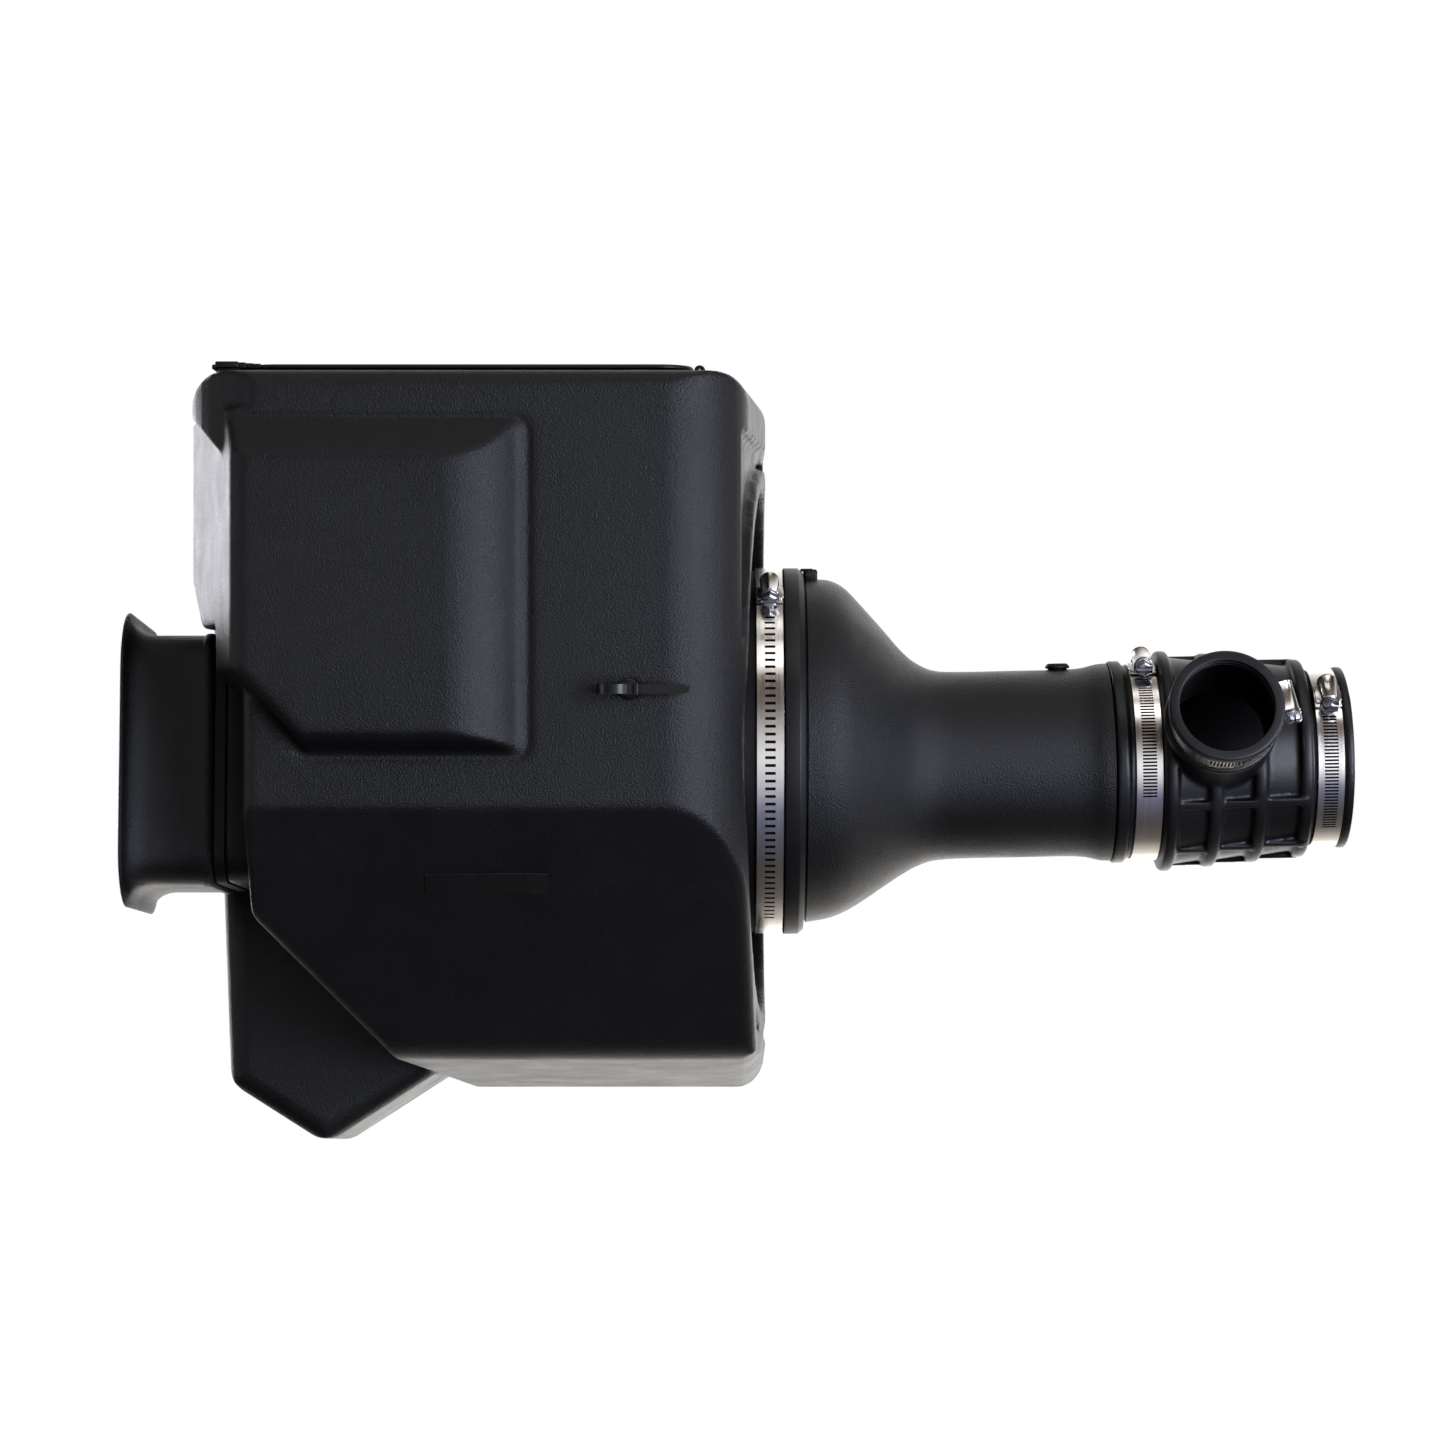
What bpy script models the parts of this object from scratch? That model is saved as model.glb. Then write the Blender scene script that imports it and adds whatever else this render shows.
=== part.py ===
"""Closed-box cold air intake: a moulded air box with an inlet scoop and a hinged filter lid, a conical
air filter inside, a bell-ended intake tube, a ribbed rubber coupler with a side port, and hose clamps.

Metres, +Z up. The origin is the centre of the flat mounting pad on the back of the air box. +X runs with
the air flow, towards the engine, and -Y is the front of the box.
"""

import math

import bmesh
import bpy
from mathutils import Matrix, Vector

MM = 0.001
GAP = 0.3 * MM  # clearance between neighbouring solids
WELD = 0.005 * MM  # points closer than this are one point

# Main bore: the axis that the filter flange and the bell of the tube share.
BORE_Y = -140 * MM
FLANGE_R = 86.2 * MM  # outside of the filter flange where it passes through the box wall
BELL_R = 81.0 * MM  # outside of the tube's bell, inside the flange

# Air box
WALL = 4 * MM
FRONT_Y = -290 * MM
BACK_Y = -8 * MM
TOP_Z = 169.6 * MM
LEFT_X = -112 * MM  # left side of the front block, beside the scoop
UPPER_LEFT_X = -146 * MM  # left side of the upper half
RIGHT_X = 120.6 * MM  # right side, behind the drafted front part
RIGHT_FOLD_Y = -130 * MM  # where the drafted front part of the right side ends
RIGHT_DRAFT = math.radians(4)
SLOPE_TOP_Z = -24 * MM  # the lower front slopes back from here
SLOPE_FOOT_Y = -205 * MM
SLOPE_FOOT_Z = -141.5 * MM
BOTTOM_FALL = math.radians(9.2)  # the underside falls towards the back
SIDE_R = 38 * MM  # right front edge
REAR_R = 26 * MM
CORNER_R = 41 * MM  # left front edge above the pad
TOP_R = 8 * MM
TOP_RIGHT_R = 24 * MM
TOP_LEFT_R = 14 * MM
SLANT_X = -119 * MM  # where the slanted left side meets the front
SLANT_NORMAL = (-95, -27, 0)
PAD_PROUD = 15 * MM
SEAT_X = 107 * MM  # outer face of the flat seat around the outlet
SEAT_R = 124 * MM
POCKET_R = 134 * MM
RECESS = 5 * MM

# Inlet duct: neck on the box and scoop in front of it, rolled a little about X
DUCT_Y = -181.5 * MM
DUCT_Z = -6.9 * MM
DUCT_ROLL = math.radians(-5.1)
DUCT_HALF_Y = 53.5 * MM
DUCT_HALF_Z = 57.3 * MM
DUCT_CORNER_R = 16 * MM
SCOOP_LIP_X = -173 * MM
SCOOP_END_X = -131.5 * MM
SCOOP_WALL = 2.4 * MM
SCOOP_FLARE = 10 * MM
NECK_TIP_X = -145 * MM
NECK_WALL = 3 * MM
SHOULDER_X = -125.5 * MM  # where the neck steps out, behind the seal

# Lid
LID_LEFT_X = -114 * MM
LID_AXIS_X = 89.7 * MM
LID_AXIS_Z = 172.4 * MM
LID_FRONT_Y = -272 * MM
LID_BACK_Y = -44 * MM
LID_UNDER_Z = 171.2 * MM
LID_TOP_Z = 173.2 * MM
LID_CORNER_R = 16 * MM
OPENING_INSET = 12 * MM
TAB_LEFT_X = -126 * MM
TAB_FRONT_Y = -271 * MM
TAB_BACK_Y = -205 * MM
KNUCKLE_R = 2.5 * MM
PIN_R = 1.0 * MM
PIN_BORE_R = 1.35 * MM

# Tube and coupler share an axis that rises gently to the right from where the bell ends.
TUBE_R = 44.6 * MM
TUBE_WALL = 3.5 * MM
RISE = math.radians(1.2)
LOWER_START = Vector((213.6 * MM, BORE_Y, -6.8 * MM))
COUPLER_X = 284.4 * MM
COUPLER_LENGTH = 111.5 * MM
BELL = (  # (x, top z, bottom z) in mm, down the bell to the straight part
    (104, 81.0, -81.0),
    (139.3, 81.0, -81.0),
    (139.5, 81.8, -81.8),
    (150, 81.6, -79.9),
    (157.7, 78, -77),
    (165.3, 70.3, -72.7),
    (175.8, 58.6, -65.6),
    (185.9, 47.1, -58.9),
    (193.5, 41.3, -54.8),
    (201.4, 38.3, -52.4),
)
FLARE = ((213.6, 44.6), (262, 44.6), (272, 45.2), (279, 46.8), (283.8, 47.2))  # (x, radius) in mm
SPIGOT_START_X = 284 * MM
SPIGOT_R = 42.3 * MM
SPIGOT_LENGTH = 30 * MM
PLUG_X = 261 * MM
PLUG_R = 4.6 * MM
PLUG_RIM_R = 5.8 * MM
BEADS = ((25.3, 52.6), (45.9, 51.0), (67.0, 49.2), (88.9, 47.2))  # (distance along, radius) in mm
OUTLET_BORE_R = 37.8 * MM

# Side port of the coupler
PORT_X = 331.5 * MM
PORT_TILT = math.radians(18)
PORT_LENGTH = 84 * MM
PORT_BORE_R = 22.3 * MM
PORT_GROOVE_R = 24.2 * MM
PORT_BAND_FROM_MOUTH = 11.5 * MM

# Hose clamps
BAND_WIDTH = 12.7 * MM
BAND_THICK = 0.8 * MM
WORM_R = 3.2 * MM
WORM_LENGTH = 15 * MM
HEAD_R = 4.3 * MM
HEAD_LENGTH = 4.8 * MM
FLANGE_BAND_X = 121.9 * MM
TUBE_BAND_AT = 15.1 * MM  # along the coupler
TUBE_BAND_R = 46.0 * MM
OUTLET_BAND_AT = 100.6 * MM
OUTLET_BAND_R = 41.4 * MM
FLANGE_CLAMP_LEAN = math.radians(34)  # the housings lean forward from the top
TUBE_CLAMP_LEAN = math.radians(22)
OUTLET_CLAMP_LEAN = math.radians(48)
PORT_CLAMP_LEAN = math.radians(76)

# Air filter
MEDIA_LEFT_X = -55 * MM
MEDIA_RIGHT_X = 91.4 * MM
MEDIA_LEFT_R = 60 * MM
MEDIA_RIGHT_R = 80 * MM
PLEAT_DEPTH = 8 * MM
PLEATS = 32
MEDIA_THICK = 1.5 * MM

# Mounting inserts and cable tie
INSERT_XS = (-30 * MM, 30 * MM)
INSERT_R = 5 * MM
INSERT_BORE_R = 2.6 * MM
INSERT_LENGTH = 9 * MM
TIE_X = 58.6 * MM
TIE_Z = 28.3 * MM
TIE_HOLE_R = 3.2 * MM
TIE_STRAP_HALF = 2.1 * MM
TIE_LOOP_R = 6.4 * MM

ROUND_STEPS = 36  # facets round the bore, the tube and the coupler
PORT_STEPS = 32
HAIR = 0.03 * MM  # keeps joined solids from sharing a plane


# ---------------------------------------------------------------- scene helpers


def clear_scene():
    for obj in list(bpy.data.objects):
        bpy.data.objects.remove(obj)


def new_collection(name):
    made = bpy.data.collections.new(name)
    bpy.context.scene.collection.children.link(made)
    return made


def material(name, colour, roughness, metallic=0.0):
    made = bpy.data.materials.new(name)
    made.use_nodes = True
    shader = made.node_tree.nodes["Principled BSDF"]
    shader.inputs["Base Color"].default_value = (*colour, 1.0)
    shader.inputs["Roughness"].default_value = roughness
    shader.inputs["Metallic"].default_value = metallic
    made.diffuse_color = (*colour, 1.0)
    return made


clear_scene()
PARTS = new_collection("cold_air_intake")
TOOLS = new_collection("cutters")
BOX_PLASTIC = material("box_plastic", (0.018, 0.018, 0.019), 0.5)
DUCT_PLASTIC = material("duct_plastic", (0.015, 0.015, 0.016), 0.42)
COUPLER_RUBBER = material("coupler_rubber", (0.012, 0.012, 0.013), 0.5)
FLANGE_URETHANE = material("flange_urethane", (0.014, 0.014, 0.015), 0.55)
CLAMP_STEEL = material("clamp_steel", (0.72, 0.70, 0.67), 0.2, 1.0)
FILTER_PAPER = material("filter_media", (0.03, 0.10, 0.30), 0.8)
TIE_NYLON = material("tie_nylon", (0.02, 0.02, 0.021), 0.45)
BRASS = material("insert_brass", (0.70, 0.52, 0.24), 0.35, 1.0)


def merged_flats(mesh):
    """Joins up the triangles that Booleans leave on flat stretches, and triangulates again."""
    bm = bmesh.new()
    bm.from_mesh(mesh)
    bmesh.ops.dissolve_limit(bm, angle_limit=math.radians(0.05), verts=bm.verts[:], edges=bm.edges[:])
    return welded(bm)


def link(name, mesh, finish, place=None, smooth_below=35):
    """A finished part: one named object with its material, shaded smooth on its round stretches."""
    mesh = merged_flats(mesh)
    obj = bpy.data.objects.new(name, mesh)
    PARTS.objects.link(obj)
    mesh.materials.clear()
    mesh.materials.append(finish)
    mesh.shade_smooth()
    mesh.set_sharp_from_angle(angle=math.radians(smooth_below))
    if place is not None:
        obj.matrix_world = place
    return obj


def welded(bm):
    """A mesh of triangles with its close points merged, which is what the Booleans work on."""
    bmesh.ops.remove_doubles(bm, verts=bm.verts[:], dist=WELD)
    bmesh.ops.triangulate(bm, faces=bm.faces[:])
    mesh = bpy.data.meshes.new("shape")
    bm.to_mesh(mesh)
    bm.free()
    return mesh


def mesh_of(bm):
    """The mesh of a single solid, facing out."""
    bmesh.ops.recalc_face_normals(bm, faces=bm.faces[:])
    return welded(bm)


def combined(base, others, operation):
    """The mesh that an EXACT Boolean of base with each of the others in turn gives."""
    for other in others:
        obj = bpy.data.objects.new("combining", base)
        tool = bpy.data.objects.new("tool", other)
        tool.hide_render = True
        tool.display_type = "WIRE"
        TOOLS.objects.link(obj)
        TOOLS.objects.link(tool)
        step = obj.modifiers.new(operation, "BOOLEAN")
        step.operation = operation
        step.object = tool
        step.solver = "EXACT"
        graph = bpy.context.evaluated_depsgraph_get()
        graph.update()
        bm = bmesh.new()
        bm.from_mesh(obj.evaluated_get(graph).data)
        bpy.data.objects.remove(obj)
        bpy.data.objects.remove(tool)
        base = welded(bm)
    return base


def united(base, *others):
    return combined(base, others, "UNION")


def cut(base, *others):
    return combined(base, others, "DIFFERENCE")


# ---------------------------------------------------------------- shape helpers


def plane(point, normal):
    return Vector(point), Vector(normal).normalized()


def rounding(first, second, radius, steps=4):
    """Planes that round the corner between two planes, all touching one cylinder."""
    (point_a, normal_a), (point_b, normal_b) = first, second
    across = normal_a.dot(normal_b)
    reach_a = point_a.dot(normal_a) - radius
    reach_b = point_b.dot(normal_b) - radius
    share_a = (reach_a - across * reach_b) / (1 - across * across)
    share_b = (reach_b - across * reach_a) / (1 - across * across)
    axis_point = normal_a * share_a + normal_b * share_b
    made = []
    for k in range(1, steps):
        outward = normal_a.slerp(normal_b, k / steps)
        made.append((axis_point + outward * radius, outward))
    return made


def slice_off(bm, point, normal):
    """Removes what lies beyond a plane from a convex solid and closes it."""
    everything = bm.verts[:] + bm.edges[:] + bm.faces[:]
    made = bmesh.ops.bisect_plane(
        bm, geom=everything, dist=1e-7, plane_co=point, plane_no=normal, clear_outer=True
    )
    rim = [e for e in made["geom_cut"] if isinstance(e, bmesh.types.BMEdge)]
    if rim:
        bmesh.ops.contextual_create(bm, geom=rim)


def convex(planes, inset=0.0):
    """The convex solid behind all the planes, with every plane moved in by inset."""
    bm = bmesh.new()
    bmesh.ops.create_cube(bm, size=2.0)
    for point, outward in planes:
        slice_off(bm, point - outward * inset, outward)
    return mesh_of(bm)


def block(low, high):
    """A plain box between two corners."""
    low, high = Vector(low), Vector(high)
    bm = bmesh.new()
    bmesh.ops.create_cube(
        bm, size=1.0, matrix=Matrix.Translation((low + high) / 2) @ Matrix.Diagonal((*(high - low), 1))
    )
    return bm


def turned(profile, steps=ROUND_STEPS, start=0.0):
    """A solid turned about X from a closed outline of (x, radius) points, outside first, left to right."""
    bm = bmesh.new()
    rings = []
    for k in range(steps):
        angle = start + 2 * math.pi * k / steps
        rings.append([bm.verts.new((x, r * math.cos(angle), r * math.sin(angle))) for x, r in profile])
    count = len(profile)
    for k in range(steps):
        here, after = rings[k], rings[(k + 1) % steps]
        for i in range(count):
            j = (i + 1) % count
            bm.faces.new((here[i], here[j], after[j], after[i]))
    return bm


def rod(radius, length, steps=24, tip_radius=None):
    """A cylinder or cone along +X, starting at the origin."""
    bm = bmesh.new()
    bmesh.ops.create_cone(
        bm,
        cap_ends=True,
        segments=steps,
        radius1=radius,
        radius2=radius if tip_radius is None else tip_radius,
        depth=length,
        matrix=Matrix.Translation((length / 2, 0, 0)) @ Matrix.Rotation(math.pi / 2, 4, "Y"),
    )
    return bm


def rounded_outline(half_y, half_z, radius, steps=5):
    """Points round a rectangle with rounded corners in the YZ plane, anticlockwise seen from +X."""
    points = []
    for corner in range(4):
        middle = math.pi / 4 + corner * math.pi / 2
        centre = (
            math.copysign(half_y - radius, math.cos(middle)),
            math.copysign(half_z - radius, math.sin(middle)),
        )
        for k in range(steps + 1):
            angle = corner * math.pi / 2 + k * math.pi / 2 / steps
            points.append((centre[0] + radius * math.cos(angle), centre[1] + radius * math.sin(angle)))
    return points


def lofted(rings, closed=False):
    """Skins rings of points. A closed loft joins its last ring to its first, or its ends are capped."""
    bm = bmesh.new()
    rows = [[bm.verts.new(point) for point in ring] for ring in rings]
    count = len(rows[0])
    pairs = list(zip(rows, rows[1:] + rows[:1])) if closed else list(zip(rows, rows[1:]))
    for here, after in pairs:
        for i in range(count):
            j = (i + 1) % count
            bm.faces.new((here[i], here[j], after[j], after[i]))
    if not closed:
        bm.faces.new(rows[0])
        bm.faces.new(rows[-1])
    return bm


def moved(bm, matrix):
    bmesh.ops.transform(bm, matrix=matrix, verts=bm.verts[:])
    return bm


def along(point, direction):
    """The matrix that takes the X axis to a direction, and the origin to a point."""
    return Matrix.Translation(point) @ Vector(direction).to_track_quat("X", "Z").to_matrix().to_4x4()


# ---------------------------------------------------------------- air box

FRONT = plane((0, FRONT_Y, 0), (0, -1, 0))
BACK = plane((0, BACK_Y, 0), (0, 1, 0))
TOP = plane((0, 0, TOP_Z), (0, 0, 1))
SLOPE = plane((0, FRONT_Y, SLOPE_TOP_Z), (0, SLOPE_FOOT_Z - SLOPE_TOP_Z, FRONT_Y - SLOPE_FOOT_Y))
BOTTOM = plane((0, SLOPE_FOOT_Y, SLOPE_FOOT_Z), (0, -math.sin(BOTTOM_FALL), -math.cos(BOTTOM_FALL)))


def main_block(inset=0.0, side_inset=None):
    """The main body: flat front, sloping lower front, drafted right side, and a cut lower left corner."""
    extra = 0.0 if side_inset is None else side_inset - inset
    left = plane((LEFT_X, 0, 0), (-1, 0, 0))
    right = plane((RIGHT_X - extra, 0, 0), (1, 0, 0))
    draft = plane((RIGHT_X - extra, RIGHT_FOLD_Y, 0), (math.cos(RIGHT_DRAFT), -math.sin(RIGHT_DRAFT), 0))
    corner = plane((-114.5 * MM, 0, -71 * MM), (-67, 0, -59.2))
    planes = [left, right, draft, FRONT, BACK, TOP, SLOPE, BOTTOM, corner]
    planes += rounding(FRONT, draft, SIDE_R, 11) + rounding(BACK, right, REAR_R, 6)
    planes += rounding(TOP, right, TOP_RIGHT_R, 8) + rounding(TOP, draft, TOP_RIGHT_R, 8)
    planes += rounding(TOP, FRONT, TOP_R, 3) + rounding(TOP, BACK, TOP_R, 3)
    planes += rounding(SLOPE, BOTTOM, 26 * MM, 7) + rounding(FRONT, SLOPE, 10 * MM, 4)
    planes += rounding(FRONT, left, 6 * MM, 3) + rounding(corner, left, 10 * MM, 3)
    planes += rounding(SLOPE, corner, 8 * MM, 3) + rounding(SLOPE, draft, 6 * MM, 3)
    planes += rounding(BOTTOM, right, 14 * MM, 4) + rounding(BOTTOM, BACK, 10 * MM, 3)
    return convex(planes, inset)


def upper_block(inset=0.0):
    """The wider upper half on the left, with its slanted front side and undercut."""
    left = plane((UPPER_LEFT_X, 0, 0), (-1, 0, 0))
    slant = plane((SLANT_X, FRONT_Y, 0), SLANT_NORMAL)
    undercut = plane((UPPER_LEFT_X, 0, 79 * MM), (-25, 0, -9))
    under = plane((0, 0, 56 * MM), (0, 0, -1))
    front = plane((0, FRONT_Y + HAIR, 0), (0, -1, 0))
    back = plane((0, BACK_Y - HAIR, 0), (0, 1, 0))
    top = plane((0, 0, 152 * MM), (0, 0, 1))
    inner_end = plane((-40 * MM, 0, 0), (1, 0, 0))
    planes = [left, slant, undercut, under, front, back, top, inner_end]
    planes += rounding(left, slant, 20 * MM, 3) + rounding(slant, front, 6 * MM, 3)
    planes += rounding(left, back, 16 * MM, 4) + rounding(undercut, under, 5 * MM, 3)
    return convex(planes, inset)


def crown_block(inset=0.0):
    """The top of the upper half: its left front edge is a large round over the slanted side."""
    left = plane((UPPER_LEFT_X - HAIR, 0, 0), (-1, 0, 0))
    cheek = plane((-139 * MM, -249 * MM, 0), (-54, -7, 0))
    front = plane((0, FRONT_Y + 2 * HAIR, 0), (0, -1, 0))
    back = plane((0, BACK_Y - 3 * HAIR, 0), (0, 1, 0))
    top = plane((0, 0, TOP_Z - HAIR), (0, 0, 1))
    under = plane((-139 * MM, 0, 151 * MM), (-12, 0, -11))
    floor = plane((0, 0, 132 * MM), (0, 0, -1))
    inner_end = plane((-41 * MM, 0, 0), (1, 0, 0))
    planes = [left, cheek, front, back, top, under, floor, inner_end]
    planes += rounding(cheek, front, CORNER_R, 8) + rounding(left, back, 16 * MM, 4)
    planes += rounding(top, back, TOP_R, 3) + rounding(top, front, TOP_R, 3)
    planes += rounding(top, left, TOP_LEFT_R, 5) + rounding(top, cheek, TOP_LEFT_R, 5)
    return convex(planes, inset)


def rear_block(inset=0.0):
    """The deeper body behind the scoop, with the lobe that hangs below the box."""
    fall = math.tan(math.radians(6))
    front_y = -120 * MM
    front = plane((0, front_y, 0), (0, -1, 0))
    back = plane((0, BACK_Y - 2 * HAIR, 0), (0, 1, 0))
    side = plane((-147 * MM, 0, 60 * MM), (-213, 0, -8))
    left_foot = plane((-137.4 * MM, front_y, -161.3 * MM), (-28.8, -45.2 * fall, -45.2))
    right_foot = plane((-92.2 * MM, front_y, -190.1 * MM), (30.1, -46.8 * fall, -46.8))
    top = plane((0, 0, 100 * MM), (0, 0, 1))
    inner_end = plane((20 * MM, 0, 0), (1, 0, 0))
    planes = [front, back, side, left_foot, right_foot, top, inner_end]
    planes += rounding(front, side, 12 * MM) + rounding(front, left_foot, 12 * MM)
    planes += rounding(front, right_foot, 12 * MM) + rounding(left_foot, right_foot, 14 * MM)
    planes += rounding(side, left_foot, 14 * MM) + rounding(back, side, 14 * MM, 3)
    planes += rounding(back, left_foot, 10 * MM, 3) + rounding(back, right_foot, 10 * MM, 3)
    return convex(planes, inset)


def front_pad(inset=0.0):
    """The raised pad on the upper left of the front, which rolls away to the right."""
    face = plane((0, FRONT_Y - PAD_PROUD, 0), (0, -1, 0))
    behind = plane((0, FRONT_Y + 30 * MM, 0), (0, 1, 0))
    left = plane((SLANT_X - HAIR, FRONT_Y, 0), SLANT_NORMAL)
    upper = plane((0, FRONT_Y, 146.8 * MM), (0, -16, 15))
    upper_left = plane((-108 * MM, FRONT_Y - PAD_PROUD, 131.8 * MM), (-20, -16.7, 39.8))
    lower = plane((0, FRONT_Y, 0.7 * MM), (0, -7, -15))
    corner = plane((-83.7 * MM, FRONT_Y, 0.7 * MM), (-35, -12, -33))
    right = plane((11 * MM, FRONT_Y, 0), (15, -7, 0))
    cap = plane((0, 0, 150.3 * MM), (0, 0, 1))
    planes = [face, behind, left, upper, upper_left, lower, corner, right, cap]
    planes += rounding(face, right, 42 * MM, 9) + rounding(face, left, 9 * MM, 4)
    planes += rounding(face, upper, 6 * MM, 3) + rounding(face, lower, 6 * MM, 3)
    planes += rounding(face, corner, 5 * MM, 3) + rounding(lower, right, 8 * MM, 3)
    return convex(planes, inset)


def corner_pockets():
    """Shallow pockets in the corners of the right side, outside a round rib about the outlet."""
    draft_normal = (math.cos(RIGHT_DRAFT), -math.sin(RIGHT_DRAFT), 0)
    right = plane((RIGHT_X - RECESS, 0, 0), (1, 0, 0))
    draft = plane((RIGHT_X - RECESS, RIGHT_FOLD_Y, 0), draft_normal)
    inner = plane((60 * MM, 0, 0), (-1, 0, 0))
    outer = plane((RIGHT_X + 10 * MM, 0, 0), (1, 0, 0))
    edges = [
        (FRONT, 24 * MM),
        (BACK, 24 * MM),
        (TOP, 26 * MM),
        (SLOPE, 15 * MM),
        (BOTTOM, 15 * MM),
    ]
    borders = [(point - outward * margin, outward) for (point, outward), margin in edges]
    floor = convex([right, draft, plane((40 * MM, 0, 0), (-1, 0, 0))])
    layer = cut(convex([inner, outer, *borders]), floor)
    disc = moved(rod(POCKET_R, 100 * MM, ROUND_STEPS), Matrix.Translation((50 * MM, BORE_Y, 0)))
    return cut(layer, mesh_of(disc))


def outlet_seat():
    seat = rod(SEAT_R, 40 * MM, ROUND_STEPS)
    return mesh_of(moved(seat, Matrix.Translation((SEAT_X, BORE_Y, 0))))


def duct_matrix(x=0.0):
    return Matrix.Translation((x, DUCT_Y, DUCT_Z)) @ Matrix.Rotation(DUCT_ROLL, 4, "X")


def duct_ring(x, grow):
    """A ring of the duct's section at x, grown outwards from the scoop's outside."""
    radius = max(DUCT_CORNER_R + grow, 3 * MM)
    outline = rounded_outline(DUCT_HALF_Y + grow, DUCT_HALF_Z + grow, radius)
    return [Vector((x, y, z)) for y, z in outline]


def duct_prism(grow, start, end):
    return mesh_of(moved(lofted([duct_ring(start, grow), duct_ring(end, grow)]), duct_matrix()))


def lid_outline(inset):
    """Half sizes and centre of the lid's outline, grown or shrunk."""
    right = LID_AXIS_X - KNUCKLE_R - GAP
    centre = Vector(((LID_LEFT_X + right) / 2, (LID_FRONT_Y + LID_BACK_Y) / 2, 0))
    half = ((right - LID_LEFT_X) / 2 - inset, (LID_BACK_Y - LID_FRONT_Y) / 2 - inset)
    return centre, half


def lid_prism(inset, low, high):
    centre, half = lid_outline(inset)
    rings = []
    for z in (low, high):
        outline = rounded_outline(half[0], half[1], max(LID_CORNER_R - inset, 3 * MM))
        rings.append([Vector((centre.x + x, centre.y + y, z)) for x, y in outline])
    return mesh_of(lofted(rings))


def knuckle_spans(for_lid):
    """Y ranges of the hinge knuckles: the box holds the end ones and the lid the ones between."""
    near, far = LID_FRONT_Y + 24 * MM, LID_BACK_Y - 24 * MM
    count = 5
    width = (far - near) / count
    spans = []
    for k in range(count):
        if (k % 2 == 1) == for_lid:
            spans.append((near + k * width + GAP / 2, near + (k + 1) * width - GAP / 2))
    return spans


def y_rod(radius, near, far, x, z, steps=16):
    place = Matrix.Translation((x, near, z)) @ Matrix.Rotation(math.pi / 2, 4, "Z")
    return mesh_of(moved(rod(radius, far - near, steps), place))


def mount_pad():
    sides = [plane((x * 45 * MM, 0, 0), (x, 0, 0)) for x in (-1, 1)]
    ends = [plane((0, 0, z * 22 * MM), (0, 0, z)) for z in (-1, 1)]
    planes = sides + ends + [plane((0, 0, 0), (0, 1, 0)), plane((0, BACK_Y - 2 * MM, 0), (0, -1, 0))]
    for side in sides:
        for end in ends:
            planes += rounding(side, end, 8 * MM)
    return convex(planes)


def inside_of_box():
    core = main_block(WALL, RECESS + WALL + MM)
    hollow = united(core, upper_block(WALL), crown_block(WALL), rear_block(WALL), front_pad(WALL))
    seat_wall = rod(SEAT_R + 6 * MM, 60 * MM, ROUND_STEPS)
    return cut(hollow, mesh_of(moved(seat_wall, Matrix.Translation((SEAT_X - WALL, BORE_Y, 0)))))


def build_box():
    """The moulded box: five joined blocks, hollowed out, with the neck, the lid's opening and seats."""
    body = united(main_block(), upper_block(), crown_block(), rear_block(), front_pad())
    neck_grow = -(SCOOP_WALL + GAP)
    neck = duct_prism(neck_grow, NECK_TIP_X, LEFT_X + 30 * MM)
    shoulder = duct_prism(-1 * MM, SHOULDER_X, LEFT_X + 25 * MM)
    body = united(body, neck, shoulder, mount_pad())
    for near, far in knuckle_spans(for_lid=False):
        foot = block(
            (LID_AXIS_X - KNUCKLE_R, near, TOP_Z - MM), (LID_AXIS_X + KNUCKLE_R, far, LID_AXIS_Z - 0.5 * MM)
        )
        body = united(body, mesh_of(foot), y_rod(KNUCKLE_R, near, far, LID_AXIS_X, LID_AXIS_Z))
    flange_hole = moved(rod(FLANGE_R + GAP, 80 * MM, ROUND_STEPS), Matrix.Translation((80 * MM, BORE_Y, 0)))
    tie_hole = moved(rod(TIE_HOLE_R, 40 * MM), along((TIE_X, FRONT_Y - 5 * MM, TIE_Z), (0, 1, 0)))
    cutters = [
        corner_pockets(),
        outlet_seat(),
        inside_of_box(),
        duct_prism(neck_grow - NECK_WALL, NECK_TIP_X - 5 * MM, LEFT_X + 40 * MM),
        lid_prism(OPENING_INSET, TOP_Z - 20 * MM, TOP_Z + 20 * MM),
        y_rod(PIN_BORE_R, LID_FRONT_Y, LID_BACK_Y, LID_AXIS_X, LID_AXIS_Z),
        mesh_of(flange_hole),
        mesh_of(tie_hole),
    ]
    for x in INSERT_XS:
        cutters.append(mesh_of(moved(rod(INSERT_R + GAP, 30 * MM), along((x, 5 * MM, 0), (0, -1, 0)))))
    return link("air_box", cut(body, *cutters), BOX_PLASTIC)


def insert_mesh():
    """A brass insert, as a plain sleeve along X."""
    outside = [(0, INSERT_R), (INSERT_LENGTH, INSERT_R)]
    bore = [(INSERT_LENGTH, INSERT_BORE_R), (0, INSERT_BORE_R)]
    return mesh_of(turned(outside + bore, 24))


def build_inserts():
    for k, x in enumerate(INSERT_XS, start=1):
        link(f"mount_insert_{k}", insert_mesh(), BRASS, along((x, -GAP, 0), (0, -1, 0)))


# ---------------------------------------------------------------- lid


def lid_ring(outer_inset, inner_inset, low, high):
    """A flat ring with the lid's outline."""
    rings = []
    for inset, z in ((outer_inset, low), (outer_inset, high), (inner_inset, high), (inner_inset, low)):
        centre, half = lid_outline(inset)
        outline = rounded_outline(half[0], half[1], max(LID_CORNER_R - inset, 3 * MM))
        rings.append([Vector((centre.x + x, centre.y + y, z)) for x, y in outline])
    return mesh_of(lofted(rings, closed=True))


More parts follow.
